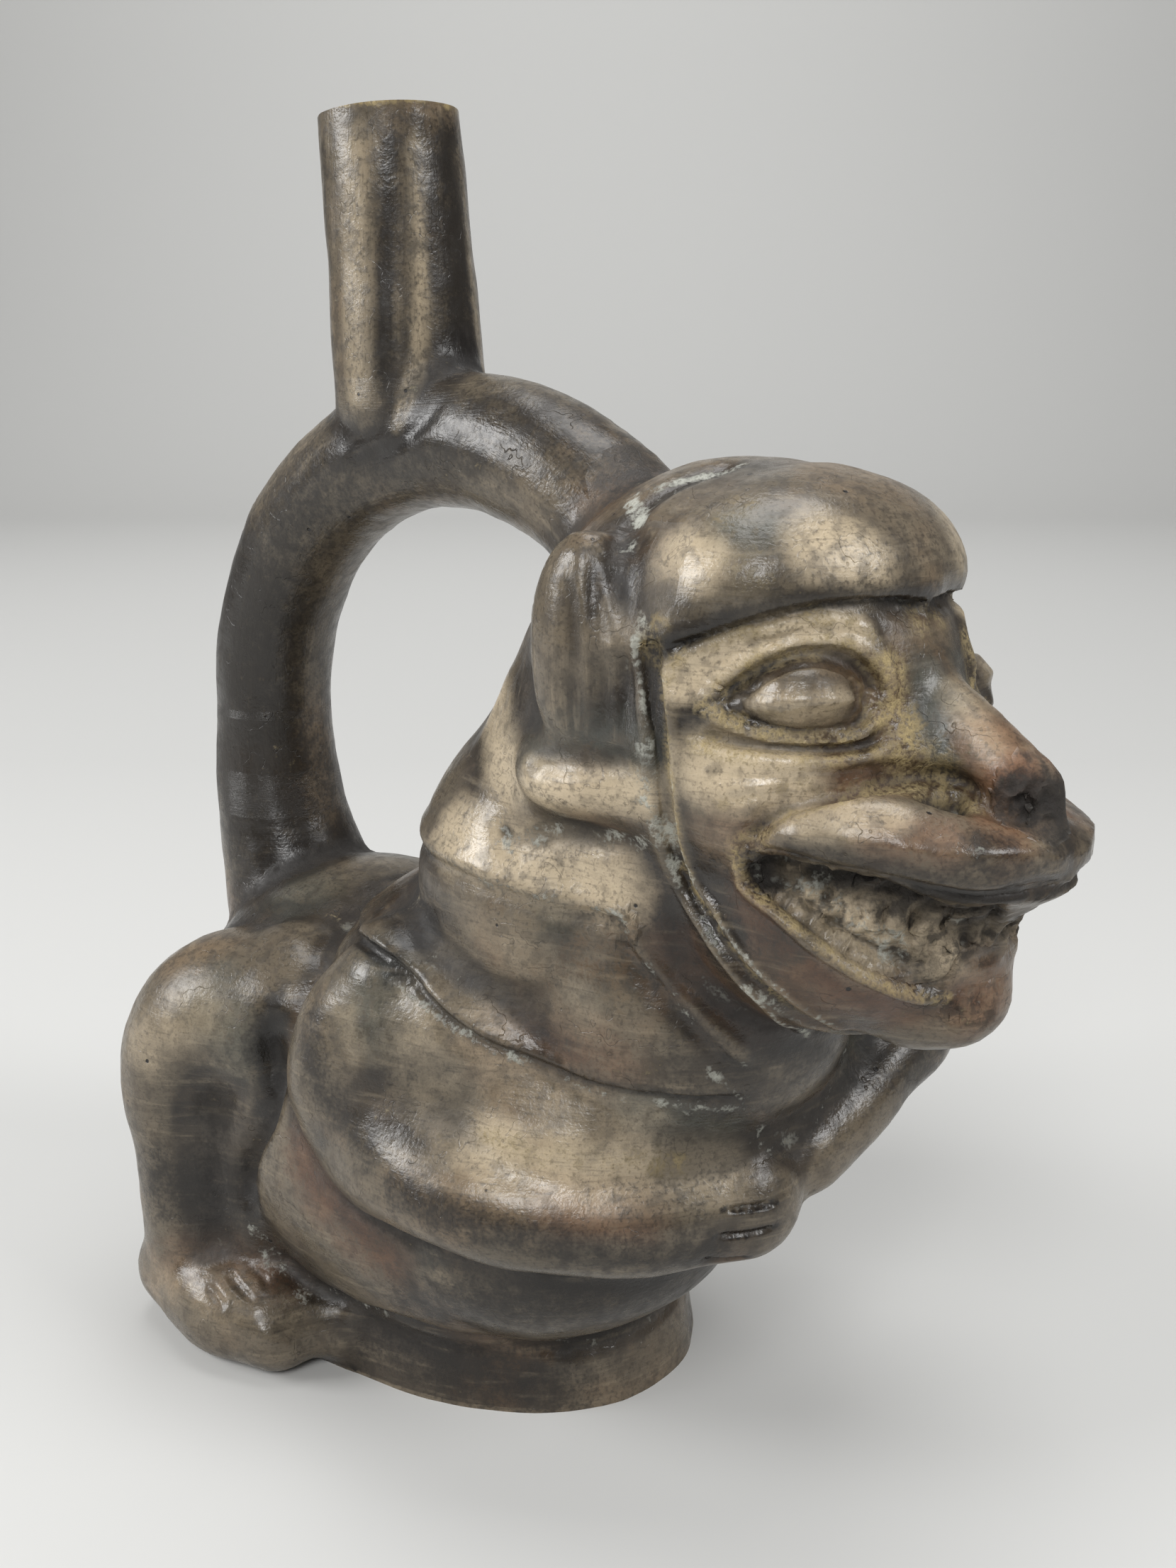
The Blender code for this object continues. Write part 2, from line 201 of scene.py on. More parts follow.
def stirrupCrown():
    forward, height = stirrup["centre"]
    share = (stirrup["spoutForward"] - forward) / stirrup["halfWidth"]
    return height + stirrup["halfHeight"] * sqrt(1 - share * share)


def spoutRim():
    rise = stirrup["spoutLength"]
    forward = stirrup["spoutForward"] - stirrup["spoutLean"] * rise
    return (0, forward, stirrupCrown() + stirrup["tubeRadius"] + rise)


def addStirrup(thinner=0.0):
    forward, height = stirrup["centre"]
    tube = stirrup["tubeRadius"]
    reach, rise = stirrup["halfWidth"], stirrup["halfHeight"]
    points = [(0, forward - reach + ahead, low) for ahead, low, wider in stirrup["rearEnd"]]
    radii = [tube + wider for ahead, low, wider in stirrup["rearEnd"]]
    for step in range(stirrup["stepsShown"]):
        turn = pi * step / stirrup["steps"]
        points.append((0, forward - reach * cos(turn), height + rise * sin(turn)))
        radii.append(tube)
    pipes = addLimb(points, radii, thinner)
    crown = stirrupCrown()
    rim = spoutRim()
    past = stirrup["spoutPast"] * (2 if thinner else 1)
    up = (0, rim[1] - stirrup["spoutLean"] * past, rim[2] + past)
    column = [(0, stirrup["spoutForward"], crown), (0, stirrup["spoutForward"], crown + tube * 0.6), rim, up]
    foot, top = stirrup["spoutFootRadius"], stirrup["spoutTopRadius"]
    return pipes + addLimb(column, [tube - 1, foot, top, top], thinner)


# Body, limbs and head
head = {"roll": 0.07}
vessel = {
    "grain": 1.75,
    "wall": 5.0,
    "bodyBalls": [
        ((0, 16, 42), (42, 56, 40)),       # pot body
        ((0, 36, 38), (38, 38, 27)),       # belly over the foot
        ((0, -12, 50), (36, 36, 35)),      # rump
        ((0, 38, 74), (40, 38, 24)),       # shoulders under the cape
        ((0, 52, 60), (38, 35, 32)),       # chest
        ((8, 66, 66), (30, 24, 24)),       # breast under the chin
        ((0, -8, 23), (34, 34, 16)),       # under the rump
    ],
    "headBalls": [
        ((0, 78, 130), (31, 34, 34)),      # skull
        ((0, 91, 122), (29, 25, 22)),      # cheeks
        ((0, 97, 105.5), (26, 26.8, 22)),    # jaws
        ((0, 110.2, 94.2), (13, 13, 10.5)),    # chin
        ((-18, 99.5, 136), (8, 8.5, 5.5)),   # right eye
        ((17, 98.6, 135), (8, 8.5, 5.5)),    # left eye
    ],
    "hairBalls": [
        ((0, 78, 134), (33.5, 32.5, 31.5)),
        ((0, 88, 148.8), (28, 20.8, 16)),
    ],
    "hairEdge": ((0, 78, 141), (0, -0.25, -1)),    # plane that ends it below: a point, and the way cut off
    "pairedBalls": [
        ((27, 70, 138), (7, 9, 17)),       # side lock
        ((26.5, 68, 119.5), (7, 11.5, 6.5)),    # ear knot
    ],
    "nose": ([(0, 100, 138.5), (0, 112, 131), (0, 122.5, 122.5)], [4, 6, 7]),
    "lip": ([(-25.5, 95, 115.8), (-20.5, 110, 118.6), (-9, 124.2, 115.1),
             (9, 124.5, 114.5), (20.5, 110.5, 117), (25.5, 95, 115)], [3.4, 5.6, 5.7, 5.7, 5.2, 3.2]),
    "limbs": [
        ([(0, 68, 128), (0, 58, 112), (0, 51, 97)], [28, 28, 32]),        # nape cloth
        ([(0, 76, 118), (0, 68, 98), (0, 66, 82)], [26, 27, 29]),         # neck
        ([(-28, 32, 80), (-34, 24, 66), (-33, 26, 56), (-38, 46, 54), (-27, 70, 51), (-6, 83, 51.5)],
         [12, 11.5, 11.5, 9.5, 9, 10.5]),                                   # right arm
        ([(26, 48, 84), (36, 72, 76), (41, 83, 71), (26, 88, 62.5), (6, 87, 55)],
         [13, 12, 10.5, 7, 7]),                                             # left arm
    ],
    "pairedLimbs": [
        ([(37, -20, 12), (35, -21, 34), (32, -19, 58), (22, -4, 62)], [11, 13, 16, 18]),    # leg
        ([(38, -24, 10), (40, -8, 9), (38, 3, 8)], [10, 10, 8.5]),          # foot
        ([(36, -2, 8), (29, 10, 7)], [8, 6.5]),                             # foot against the base
    ],
    "calf": ((28, -14, 30), (14, 18, 30)),
    "base": {"centre": (5, 8), "halfSizes": (36.5, 52), "height": 20, "sunk": 4, "taper": 0.94},
}


def addBase():
    size = vessel["base"]
    bpy.ops.mesh.primitive_cone_add(vertices=96, radius1=1, radius2=size["taper"], depth=1)
    base = bpy.context.object
    base.scale = (size["halfSizes"][0] * mm, size["halfSizes"][1] * mm, size["height"] * mm)
    base.location = place((*size["centre"], size["height"] / 2 - size["sunk"]))
    bpy.ops.object.transform_apply(location=True, rotation=True, scale=True)
    return base


def addHair():
    locks = []
    point, cutOff = vessel["hairEdge"]
    for centre, radii in vessel["hairBalls"]:
        lock = addBall(rolled(centre), radii)
        bpy.ops.object.mode_set(mode="EDIT")
        bpy.ops.mesh.select_all(action="SELECT")
        bpy.ops.mesh.bisect(plane_co=place(point), plane_no=Vector(cutOff).normalized(),
                            use_fill=True, clear_outer=True)
        bpy.ops.object.mode_set(mode="OBJECT")
        locks.append(lock)
    return locks


def addForms():
    forms = [addBall(*ball) for ball in vessel["bodyBalls"]]
    forms += [addBall(rolled(centre), radii) for centre, radii in vessel["headBalls"]]
    forms += addHair()
    for points, radii in (vessel["nose"], vessel["lip"]):
        forms += addLimb([rolled(spot) for spot in points], radii)
    for points, radii in vessel["limbs"]:
        forms += addLimb(points, radii)
    for turn in (-1, 1):
        for (side, forward, height), radii in vessel["pairedBalls"]:
            forms.append(addBall(rolled((side * turn, forward, height)), radii))
        for points, radii in vessel["pairedLimbs"]:
            forms += addLimb([(side * turn, forward, height) for side, forward, height in points], radii)
        side, forward, height = vessel["calf"][0]
        forms.append(addBall((side * turn, forward, height), vessel["calf"][1]))
    return forms + [addBase()]


clay = fuse(addForms() + addStirrup(), "vesselSkin", vessel["grain"], 4)
print("forms fused", len(clay.data.vertices))


# Modelling in the soft clay: moving the skin along its normals near lines and spots
def vectorsOf(group, name):
    flat = np.empty(len(group) * 3)
    group.foreach_get(name, flat)
    return flat.reshape(-1, 3)


def spotsOf(piece):
    return vectorsOf(piece.data.vertices, "co")


def normalsOf(piece):
    return vectorsOf(piece.data.vertex_normals, "vector")


def moveTo(piece, spots):
    piece.data.vertices.foreach_set("co", spots.ravel())
    piece.data.update()


# Moves the skin along its normals, outwards above zero
def push(piece, moves):
    moveTo(piece, spotsOf(piece) + normalsOf(piece) * moves[:, None])


def smoothPicked(passes):
    bpy.ops.mesh.vertices_smooth(factor=0.5, repeat=passes)
    bpy.ops.object.mode_set(mode="OBJECT")


def figureSpots(piece):
    spots = spotsOf(piece) / mm
    side, forward = spots[:, 0] - figure["sideShift"], figure["forwardShift"] - spots[:, 1]
    return np.column_stack((side, forward, spots[:, 2]))


def subdivideWhere(piece, chosen, passes):
    pick(piece, "FACE", [all(chosen[corner] for corner in face.vertices) for face in piece.data.polygons])
    bpy.ops.mesh.subdivide(number_cuts=1, quadcorner="INNERVERT")
    smoothPicked(passes)


# Close-set places, travel directions and normals on the skin through the given places
def runAlong(points, skin, gap=0.5):
    knots = [place(spot) for spot in points]
    run, normals = [], []
    for i in range(len(knots) - 1):
        before, here = knots[max(i - 1, 0)], knots[i]
        there, after = knots[i + 1], knots[min(i + 2, len(knots) - 1)]
        steps = max(2, int((there - here).length / (gap * mm)))
        for step in range(steps + (i == len(knots) - 2)):
            t = step / steps
            spot = 0.5 * (2 * here + (there - before) * t
                          + (2 * before - 5 * here + 4 * there - after) * t * t
                          + (3 * here - before - 3 * there + after) * t ** 3)
            found = skin.find_nearest(spot)
            run.append(found[0])
            normals.append(found[1])
    run, normals = np.array(run), np.array(normals)
    travel = np.gradient(run, axis=0)
    travel /= np.linalg.norm(travel, axis=1)[:, None] + 1e-9
    return run, travel, normals


# For the spots within reach: their numbers, signed offset (right of travel) and way to the line's ends
def offsetsFrom(spots, run, travel, normals, reach):
    low, high = run.min(axis=0) - reach, run.max(axis=0) + reach
    near = np.nonzero(np.all((spots > low) & (spots < high), axis=1))[0]
    if not len(near):
        return near, np.zeros(0), np.zeros(0)
    gaps = np.linalg.norm(spots[near][:, None, :] - run[None, :, :], axis=2)
    closest = gaps.argmin(axis=1)
    least = gaps[np.arange(len(near)), closest]
    across = np.cross(travel[closest], normals[closest])
    side = np.sign(np.einsum("ij,ij->i", spots[near] - run[closest], across))
    along = np.concatenate(([0], np.cumsum(np.linalg.norm(np.diff(run, axis=0), axis=1))))
    toEnd = np.minimum(along[closest], along[-1] - along[closest])
    keep = least < reach
    return near[keep], (least * np.where(side == 0, 1, side))[keep], toEnd[keep]


profiles = {
    "groove": lambda s: -(1 - s * s) ** 2,
    "ridge": lambda s: (1 - s * s) ** 2,
    "cut": lambda s: -(1 - abs(s)) ** 1.3,
    "crest": lambda s: (1 - abs(s)) ** 1.5,
    "channel": lambda s: -np.clip((1 - abs(s)) / 0.45, 0, 1),
    "ledge": lambda s: -np.tanh(4 * s) * (1 - abs(s)) ** 1.6,    # high on the left of travel
    "under": lambda s: -np.clip(0.5 + 3 * s, 0, 1) * (1 - abs(s)) ** 1.4,    # sunk on the right of travel
}


# The same places on the figure's right and, mirrored, on its left
def bothSides(points, on):
    for turn in (1,) if on == "right" else (1, -1):
        line = [(side * turn, forward, height) for side, forward, height in points]
        yield turn, [rolled(spot) for spot in line] if on == "head" else line


def placeLines(piece):
    skin = skinOf(piece)
    for name, line in lines.items():
        seen = [seenOn(skin, pixel) for pixel in line["seen"]]
        seen = [spot for spot in seen if spot and (spot[0] < 0 or line["on"] == "right")]
        if line["on"] == "head":
            seen = [rolled(spot, -1) for spot in seen]
        line["points"] = beforeSeen.get(name, []) + seen + afterSeen.get(name, [])


# Presses the skin along named lines: (line, half width, depth, profile, fade at the ends) in millimetres
def press(piece, work):
    skin = skinOf(piece)
    spots = spotsOf(piece)
    moves = np.zeros(len(spots))
    for name, width, depth, profile, fade in work:
        line = lines[name]
        for turn, points in bothSides(line["points"], line["on"]):
            near, offset, toEnd = offsetsFrom(spots, *runAlong(points, skin), width * mm)
            share = np.clip(offset * turn / (width * mm), -1, 1)
            ends = np.clip(toEnd / (fade * mm), 0, 1) if fade else 1
            moves[near] += depth * mm * profiles[profile](share) * ends
    push(piece, moves)


# Raises or sinks soft spots: (centre or its pixel, half sizes, height, where) in millimetres
def swell(piece, work):
    skin = skinOf(piece)
    spots = figureSpots(piece)
    moves = np.zeros(len(spots))
    for centre, halfSizes, height, on in work:
        centre = seenOn(skin, centre) if len(centre) == 2 else centre
        for turn, points in bothSides([centre], on):
            share = np.linalg.norm((spots - np.array(points[0])) / np.array(halfSizes), axis=1)
            moves += height * mm * np.clip(1 - share * share, 0, 1) ** 2
    push(piece, moves)


# Smooths the skin round a place seen at a pixel, as with a damp sponge
def sponge(piece, pixel, radius, passes):
    pick(piece, "VERT", spotShare(piece, pixel, radius) > 0)
    smoothPicked(passes)


def insideOutline(outline, across, up):
    hit = np.zeros(len(across), dtype=bool)
    for (a1, u1), (a2, u2) in zip(outline, outline[1:] + outline[:1]):
        crosses = (u1 > up) != (u2 > up)
        with np.errstate(divide="ignore", invalid="ignore"):
            hit ^= crosses & (across < (a2 - a1) * (up - u1) / (u2 - u1) + a1)
    return hit


def edgeDistance(outline, across, up):
    best = np.full(len(across), np.inf)
    for (a1, u1), (a2, u2) in zip(outline, outline[1:] + outline[:1]):
        length = (a2 - a1) ** 2 + (u2 - u1) ** 2
        t = np.clip(((across - a1) * (a2 - a1) + (up - u1) * (u2 - u1)) / length, 0, 1)
        best = np.minimum(best, np.hypot(across - a1 - t * (a2 - a1), up - u1 - t * (u2 - u1)))
    return best


# Lines of the figure as they run in the photograph, in its pixels: on the head and the body, which are
# mirrored to the figure's left, and on its right alone
headLines = {
    "fringeEdge": [(940, 912), (995, 893), (1050, 877), (1106, 862), (1160, 852), (1217, 848),
        (1260, 846), (1305, 848), (1345, 868)],
    "fringeGroove": [(1050, 652), (985, 668), (925, 700), (893, 735), (880, 780), (882, 830), (892, 870),
        (908, 905), (925, 928)],
    "bandLeft": [(893, 905), (903, 950), (908, 1000), (920, 1045), (926, 1100), (930, 1150), (938, 1195),
        (960, 1250), (990, 1312), (1035, 1375), (1085, 1425), (1140, 1460), (1185, 1475)],
    "band": [(905, 905), (918, 950), (923, 1000), (930, 1045), (936, 1100), (940, 1150), (950, 1200),
        (972, 1250), (1002, 1305), (1045, 1365), (1100, 1415), (1150, 1448), (1190, 1465)],
    "bandRight": [(922, 930), (934, 960), (940, 1000), (944, 1050), (947, 1100), (952, 1150), (962, 1200),
        (985, 1250), (1015, 1300), (1060, 1358), (1110, 1402), (1160, 1438), (1200, 1455)],
    "browLine": [(940, 960), (955, 930), (1000, 908), (1070, 887), (1150, 872), (1210, 884), (1240, 915),
        (1252, 960), (1255, 1000)],
    "lidRidge": [(990, 994), (1045, 945), (1100, 914), (1150, 904), (1205, 913), (1246, 945),
        (1258, 990)],
    "lidGroove": [(1003, 988), (1050, 953), (1100, 928), (1150, 918), (1200, 928), (1235, 955),
        (1242, 990)],
    "ballTop": [(1050, 985), (1085, 958), (1120, 942), (1160, 937), (1195, 946), (1212, 968)],
    "ballCrest": [(1048, 996), (1090, 991), (1130, 987), (1165, 985), (1208, 986)],
    "ballLower": [(1010, 1003), (1060, 1022), (1110, 1034), (1160, 1037), (1205, 1028), (1226, 1000),
        (1220, 965)],
    "lidLower": [(990, 998), (1050, 1026), (1100, 1041), (1160, 1046), (1215, 1037), (1243, 1012)],
    "underEye": [(965, 1030), (1010, 1042), (1060, 1051), (1120, 1056), (1180, 1056), (1230, 1048),
        (1265, 1030)],
    "underEyeRim": [(985, 1050), (1050, 1064), (1120, 1070), (1180, 1069), (1235, 1060), (1280, 1040)],
    "lipCrease": [(1042, 1203), (1068, 1168), (1105, 1137), (1150, 1120), (1200, 1110), (1250, 1101),
        (1300, 1095), (1345, 1103), (1380, 1130)],
    "lipBody": [(1075, 1190), (1150, 1180), (1230, 1190), (1310, 1203), (1390, 1208), (1460, 1205)],
    "lipUnder": [(1049, 1203), (1100, 1208), (1157, 1222), (1240, 1240), (1323, 1258), (1385, 1266),
        (1460, 1255)],
    "mouthRim": [(1040, 1207), (1050, 1250), (1100, 1292), (1150, 1332), (1200, 1367), (1250, 1392),
        (1300, 1408), (1335, 1412)],
    "mouthInner": [(1060, 1215), (1070, 1250), (1112, 1285), (1160, 1325), (1205, 1355), (1255, 1380),
        (1300, 1395), (1340, 1385), (1362, 1352), (1400, 1340), (1435, 1338)],
    "notch": [(1360, 1350), (1400, 1350), (1430, 1350)],
    "cheekUpper": [(1000, 1092), (1050, 1098), (1110, 1096)],
    "cheekFold": [(1018, 1130), (1060, 1125), (1100, 1117), (1150, 1100)],
    "cheekLower": [(1080, 1102), (1150, 1095), (1220, 1090), (1300, 1090)],
    "lockBack": [(800, 790), (803, 850), (808, 930), (812, 1040)],
    "lockMiddle": [(838, 760), (838, 830), (845, 930), (852, 1040)],
    "lockFront": [(868, 790), (872, 860), (884, 950), (893, 1040)],
    "knotTop": [(740, 1085), (770, 1078), (820, 1078), (870, 1078), (900, 1068)],
    "knotLower": [(700, 1150), (720, 1185), (775, 1175), (830, 1180), (880, 1190), (925, 1195)],
    "noseCrease": [(1378, 1098), (1388, 1128), (1425, 1150), (1478, 1152)],
}
bodyLines = {
    "napeHem": [(605, 1200), (664, 1232), (774, 1276), (845, 1285), (875, 1300), (895, 1345), (935, 1390),
        (995, 1455), (1045, 1500)],
    "capeEdge": [(503, 1305), (543, 1350), (600, 1405), (650, 1450), (720, 1485), (800, 1520),
        (880, 1540), (960, 1548), (1040, 1550)],
    "capeUnder": [(545, 1375), (600, 1420), (660, 1460), (740, 1500), (850, 1545), (960, 1560),
        (1050, 1565)],
    "thighSlit": [(385, 1420), (381, 1450), (378, 1490), (382, 1530), (372, 1570), (352, 1610),
        (345, 1660), (352, 1715)],
    "toeOuter": [(293, 1810), (303, 1830), (318, 1848)],
    "toeMiddle": [(317, 1790), (335, 1815), (357, 1838)],
    "toeInner": [(347, 1790), (368, 1800), (376, 1820)],
    "baseGroove": [(352, 1738), (400, 1775), (450, 1815), (500, 1838), (560, 1862), (620, 1880),
        (700, 1893), (780, 1900), (860, 1888), (930, 1868), (992, 1845)],
    "spoutFoot": [(485, 651), (540, 640), (600, 590), (640, 545), (676, 523)],
}
rightLines = {
    "armFold": [(625, 1460), (630, 1500), (645, 1545), (665, 1580), (720, 1600)],
    "fingerUpper": [(1020, 1708), (1060, 1704), (1098, 1697)],
    "fingerMiddle": [(1008, 1748), (1055, 1743), (1098, 1732)],
    "fingerLower": [(990, 1778), (1020, 1778), (1058, 1773)],
}
# Places before and after what is seen, which the photograph doesn't show
beforeSeen = {"napeHem": [(-12, 24, 104)], "capeEdge": [(-14, 4, 88)]}
afterSeen = {"fringeEdge": [(0, 108, 147)], "band": [(0, 111, 85)], "lipBody": [(0, 131, 115)],
             "lipUnder": [(0, 131, 113)], "notch": [(0, 124.5, 101.5)], "napeHem": [(-13, 91, 79)],
             "capeEdge": [(-13, 89, 71.5)], "baseGroove": [(6, 57.5, 12)]}
lines = {}
for on, group in (("head", headLines), ("body", bodyLines), ("right", rightLines)):
    for name, seen in group.items():
        lines[name] = {"on": on, "seen": seen}
teethGaps = [((1130, 1232), (1120, 1278)), ((1172, 1245), (1163, 1310)), ((1222, 1258), (1214, 1332)),
             ((1262, 1266), (1256, 1345)), ((1297, 1270), (1293, 1350)), ((1345, 1278), (1345, 1350)),
             ((1376, 1278), (1378, 1345)), ((1403, 1276), (1406, 1335)), ((1440, 1288), (1441, 1318))]
for number, gap in enumerate(teethGaps):    # the gaps at the front are seen from the right alone
    lines[f"tooth{number}"] = {"on": "head" if number < 6 else "right", "seen": gap}


# Depth, soft edge, the forward place that closes its outline and the side at which it is full, in
# millimetres, then shares: its depth in the middle, and what it keeps on upright and on tilted skin
mouthForm = {"depth": 3.8, "edge": 1.6, "past": 136, "fullSide": 16, "leastDepth": 0.35,
             "upright": 1.6, "tilt": 2}


# Forward and height of the open mouth from the side: under the upper lip, past the front, back by the rim
def mouthOutline():
    upper = [spot[1:] for spot in lines["lipUnder"]["points"][:-1]]
    lower = [spot[1:] for spot in lines["mouthInner"]["points"]]
    past = mouthForm["past"]
    return upper + [(past, upper[-1][1]), (past, lower[-1][1])] + lower[::-1]


def mouthShare(piece, edge):
    spots = figureSpots(piece)
    height = spots[:, 2] + head["roll"] * spots[:, 0]
    outline = mouthOutline()
    share = np.clip(edgeDistance(outline, spots[:, 1], height) / edge, 0, 1)
    facing = np.clip(mouthForm["upright"] + mouthForm["tilt"] * normalsOf(piece)[:, 2], 0, 1)
    return np.where(insideOutline(outline, spots[:, 1], height), share * share * (3 - 2 * share) * facing, 0)


# Sinks the open mouth between the lips, the most at the sides
def sinkMouth(piece):
    share = mouthShare(piece, mouthForm["edge"])
    sides = np.clip(abs(figureSpots(piece)[:, 0]) / mouthForm["fullSide"], mouthForm["leastDepth"], 1)
    push(piece, -mouthForm["depth"] * mm * share * sides)
    return share


# Shares of a crumb's height: where it starts, its top, clefts, lumps and grit
crumbs = {"leastShare": 0.05, "top": 0.7, "cleft": 3.4, "flatter": 0.6,
          "lump": 0.8, "lumpScale": 0.5, "grit": 0.3, "gritScale": 0.9}


# Broken or crumbly clay: uneven blocks of about the given size between clefts, with lumps and grit
def crumble(piece, share, size, height):
    spots, normals = spotsOf(piece), normalsOf(piece)
    for index in np.nonzero(share > crumbs["leastShare"])[0]:
        spot = Vector(spots[index]) / mm
        turned = Vector((spot.x, spot.y + spot.z, (spot.z - spot.y) * crumbs["flatter"]))
        block = crumbs["top"] - crumbs["cleft"] * abs(noise.noise(turned / size))
        lump = noise.noise(spot / size * crumbs["lumpScale"]) * crumbs["lump"]
        grit = noise.noise(spot * crumbs["gritScale"]) * crumbs["grit"]
        spots[index] += normals[index] * (block + (lump + grit)) * height * share[index] * mm
    moveTo(piece, spots)


nowhere = (0, 0, -99)    # for a pixel that misses the skin: out of every reach


# One at the place seen at the pixel, down to none at the radius in millimetres
def spotShare(piece, pixel, radius):
    centre = seenOn(skinOf(piece), pixel) or nowhere
    away = np.linalg.norm(spotsOf(piece) - np.array(place(centre)), axis=1) / (radius * mm)
    return np.clip(1 - away * away, 0, 1)


def nearLines(piece, names, reach):
    skin = skinOf(piece)
    spots = spotsOf(piece)
    near = np.zeros(len(spots), dtype=bool)
    for name in names:
        for turn, points in bothSides(lines[name]["points"], lines[name]["on"]):
            near[offsetsFrom(spots, *runAlong(points, skin), reach * mm)[0]] = True
    return near


# Lines fine enough to need a second refinement
fineLines = ["bandLeft", "bandRight", "browLine", "lidRidge", "lidGroove", "ballTop", "ballCrest",
             "ballLower", "lidLower", "underEye", "underEyeRim", "lipCrease", "lipUnder", "mouthRim",
             "mouthInner", "fringeEdge", "capeEdge", "capeUnder", "cheekFold", "cheekUpper"]
fineLines += [name for name in lines if name.startswith(("finger", "toe", "tooth"))]
placeLines(clay)
subdivideWhere(clay, nearLines(clay, lines, 3.5), 2)
print("skin refined", len(clay.data.vertices))

# Broken places: the photograph's pixel, radius, depth and size of the crumbs in millimetres
wear = {
    "breaks": [
        ((1468, 1124), 5.4, 1.2, 2.8),     # nose tip
        ((1386, 1416), 1.8, 0.7, 1.2),     # chin
        ((1350, 1424), 1.5, 0.5, 1.2),
        ((880, 1305), 2.2, 0.6, 1.3),      # hem of the nape cloth
        ((1082, 1228), 2.6, 1.0, 1.5),     # corner of the mouth
    ],
    "wave": 0.35, "waveScale": 90.0,        # height in millimetres, waves in a metre
    "ripple": 0.1, "rippleScale": 260.0,
    "sponged": [                            # smoothed before the carving: pixel, radius, passes
        ((530, 1550), 15, 24),              # bend of the right arm
        ((570, 1590), 12, 16),
        ((315, 1560), 10, 20),              # shin
        ((440, 1815), 11, 30),              # between foot and base
    ],
    "farEye": ((1392, 945), 7, 5),          # smoothed after the carving
    "breakTone": 0.8,                       # how much a break looks like the mouth's broken clay
}


def nearBreaks(piece):
    shares = [spotShare(piece, pixel, radius + 1) for pixel, radius, depth, size in wear["breaks"]]
    return np.max(shares, axis=0) > 0


subdivideWhere(clay, nearLines(clay, fineLines, 1.9) | (mouthShare(clay, 1.0) > 0) | nearBreaks(clay), 1)
print("lines refined", len(clay.data.vertices))
swell(clay, [
    ((-21, 101, 142.5), (8, 8, 4), 0.9, "head"),         # brow
    ((-2, 120, 91), (10, 9, 7), 1.2, "right"),           # chin
    ((-26, 93, 121), (12, 12, 9), 1.0, "head"),          # cheek
    ((-45, -10, 40), (15, 16, 26), -1.6, "body"),       # hollow of the shin
    ((-32, 64, 71), (9, 16, 7), -1.3, "right"),         # between cape and forearm
    ((540, 1535), (15, 15, 12), 3.6, "right"),          # bend of the right arm
    ((19, 104, 129), (8, 8, 6), 1.8, "right"),          # left cheekbone
])
for spot in wear["sponged"]:
    sponge(clay, *spot)
mouth = sinkMouth(clay)
swell(clay, [((-1, 122, 107), (12, 9, 5), 1.5, "right")])    # upper front teeth
press(clay, [
    ("fringeGroove", 3.6, 1.1, "groove", 3),
    ("band", 2.4, 1.3, "channel", 2),
    ("browLine", 2.6, 0.7, "ridge", 3),
    ("underEye", 2.2, 1.3, "groove", 4),
    ("lidGroove", 3.0, 1.7, "groove", 2),
    ("ballCrest", 6.0, 1.3, "ridge", 7),
    ("lipCrease", 2.7, 2.3, "groove", 3),
    ("noseCrease", 2.6, 1.6, "groove", 3),
    ("notch", 2.6, 1.4, "groove", 2),
    ("knotLower", 4.0, 1.3, "groove", 5),
    ("knotTop", 3.4, 1.2, "groove", 3),
    ("lockMiddle", 2.4, 0.9, "groove", 6),
    ("lockBack", 2.4, 0.7, "groove", 6),
    ("lockFront", 2.4, 0.7, "groove", 6),
    ("napeHem", 4.4, 1.5, "ledge", 5),
    ("capeEdge", 5.0, 1.3, "ledge", 10),
    ("thighSlit", 4.6, 3.4, "groove", 8),
    ("baseGroove", 3.4, 1.3, "groove", 16),
    ("spoutFoot", 2.8, 0.5, "groove", 8),
])
press(clay, [
    ("fringeEdge", 3.2, 2.0, "under", 2),
    ("bandLeft", 1.6, 0.6, "ridge", 3),
    ("bandRight", 1.6, 0.7, "ridge", 3),
    ("lidRidge", 1.8, 1.3, "ridge", 3),
    ("lidLower", 1.5, 1.2, "ridge", 3),
    ("ballTop", 1.5, 0.8, "groove", 2),
    ("ballLower", 1.5, 1.0, "groove", 2),
    ("ballCrest", 1.8, 0.9, "crest", 2),
    ("underEyeRim", 1.5, 0.5, "ridge", 3),
    ("lipUnder", 2.2, 1.0, "groove", 3),
    ("lipBody", 3.0, 0.9, "crest", 5),
    ("mouthRim", 1.8, 1.3, "ridge", 3),
    ("mouthInner", 1.5, 1.2, "cut", 2),
    ("cheekUpper", 1.3, 0.3, "groove", 2),
    ("cheekFold", 1.3, 0.4, "groove", 2),
    ("cheekLower", 1.4, 0.5, "groove", 3),
    ("capeUnder", 2.4, 0.4, "ridge", 8),
    ("capeEdge", 1.4, 0.9, "groove", 8),
    ("armFold", 7.0, 0.7, "groove", 10),
    ("fingerUpper", 0.9, 1.2, "cut", 2),
    ("fingerMiddle", 0.9, 1.2, "cut", 2),
    ("fingerLower", 0.9, 1.2, "cut", 2),
    ("toeOuter", 1.4, 0.7, "groove", 2),
    ("toeMiddle", 1.4, 0.8, "groove", 2),
    ("toeInner", 1.4, 0.7, "groove", 2),
    *[(f"tooth{number}", 1.5, 1.0 if number < 4 else 1.5, "groove", 1) for number in range(len(teethGaps))],
])
crumble(clay, mouth, 5.2, 0.8)
for pixel, radius, depth, size in wear["breaks"]:
    share = spotShare(clay, pixel, radius)
    push(clay, -share * depth * mm)
    crumble(clay, share, size, depth * 0.6)
sponge(clay, *wear["farEye"])
print("carved")


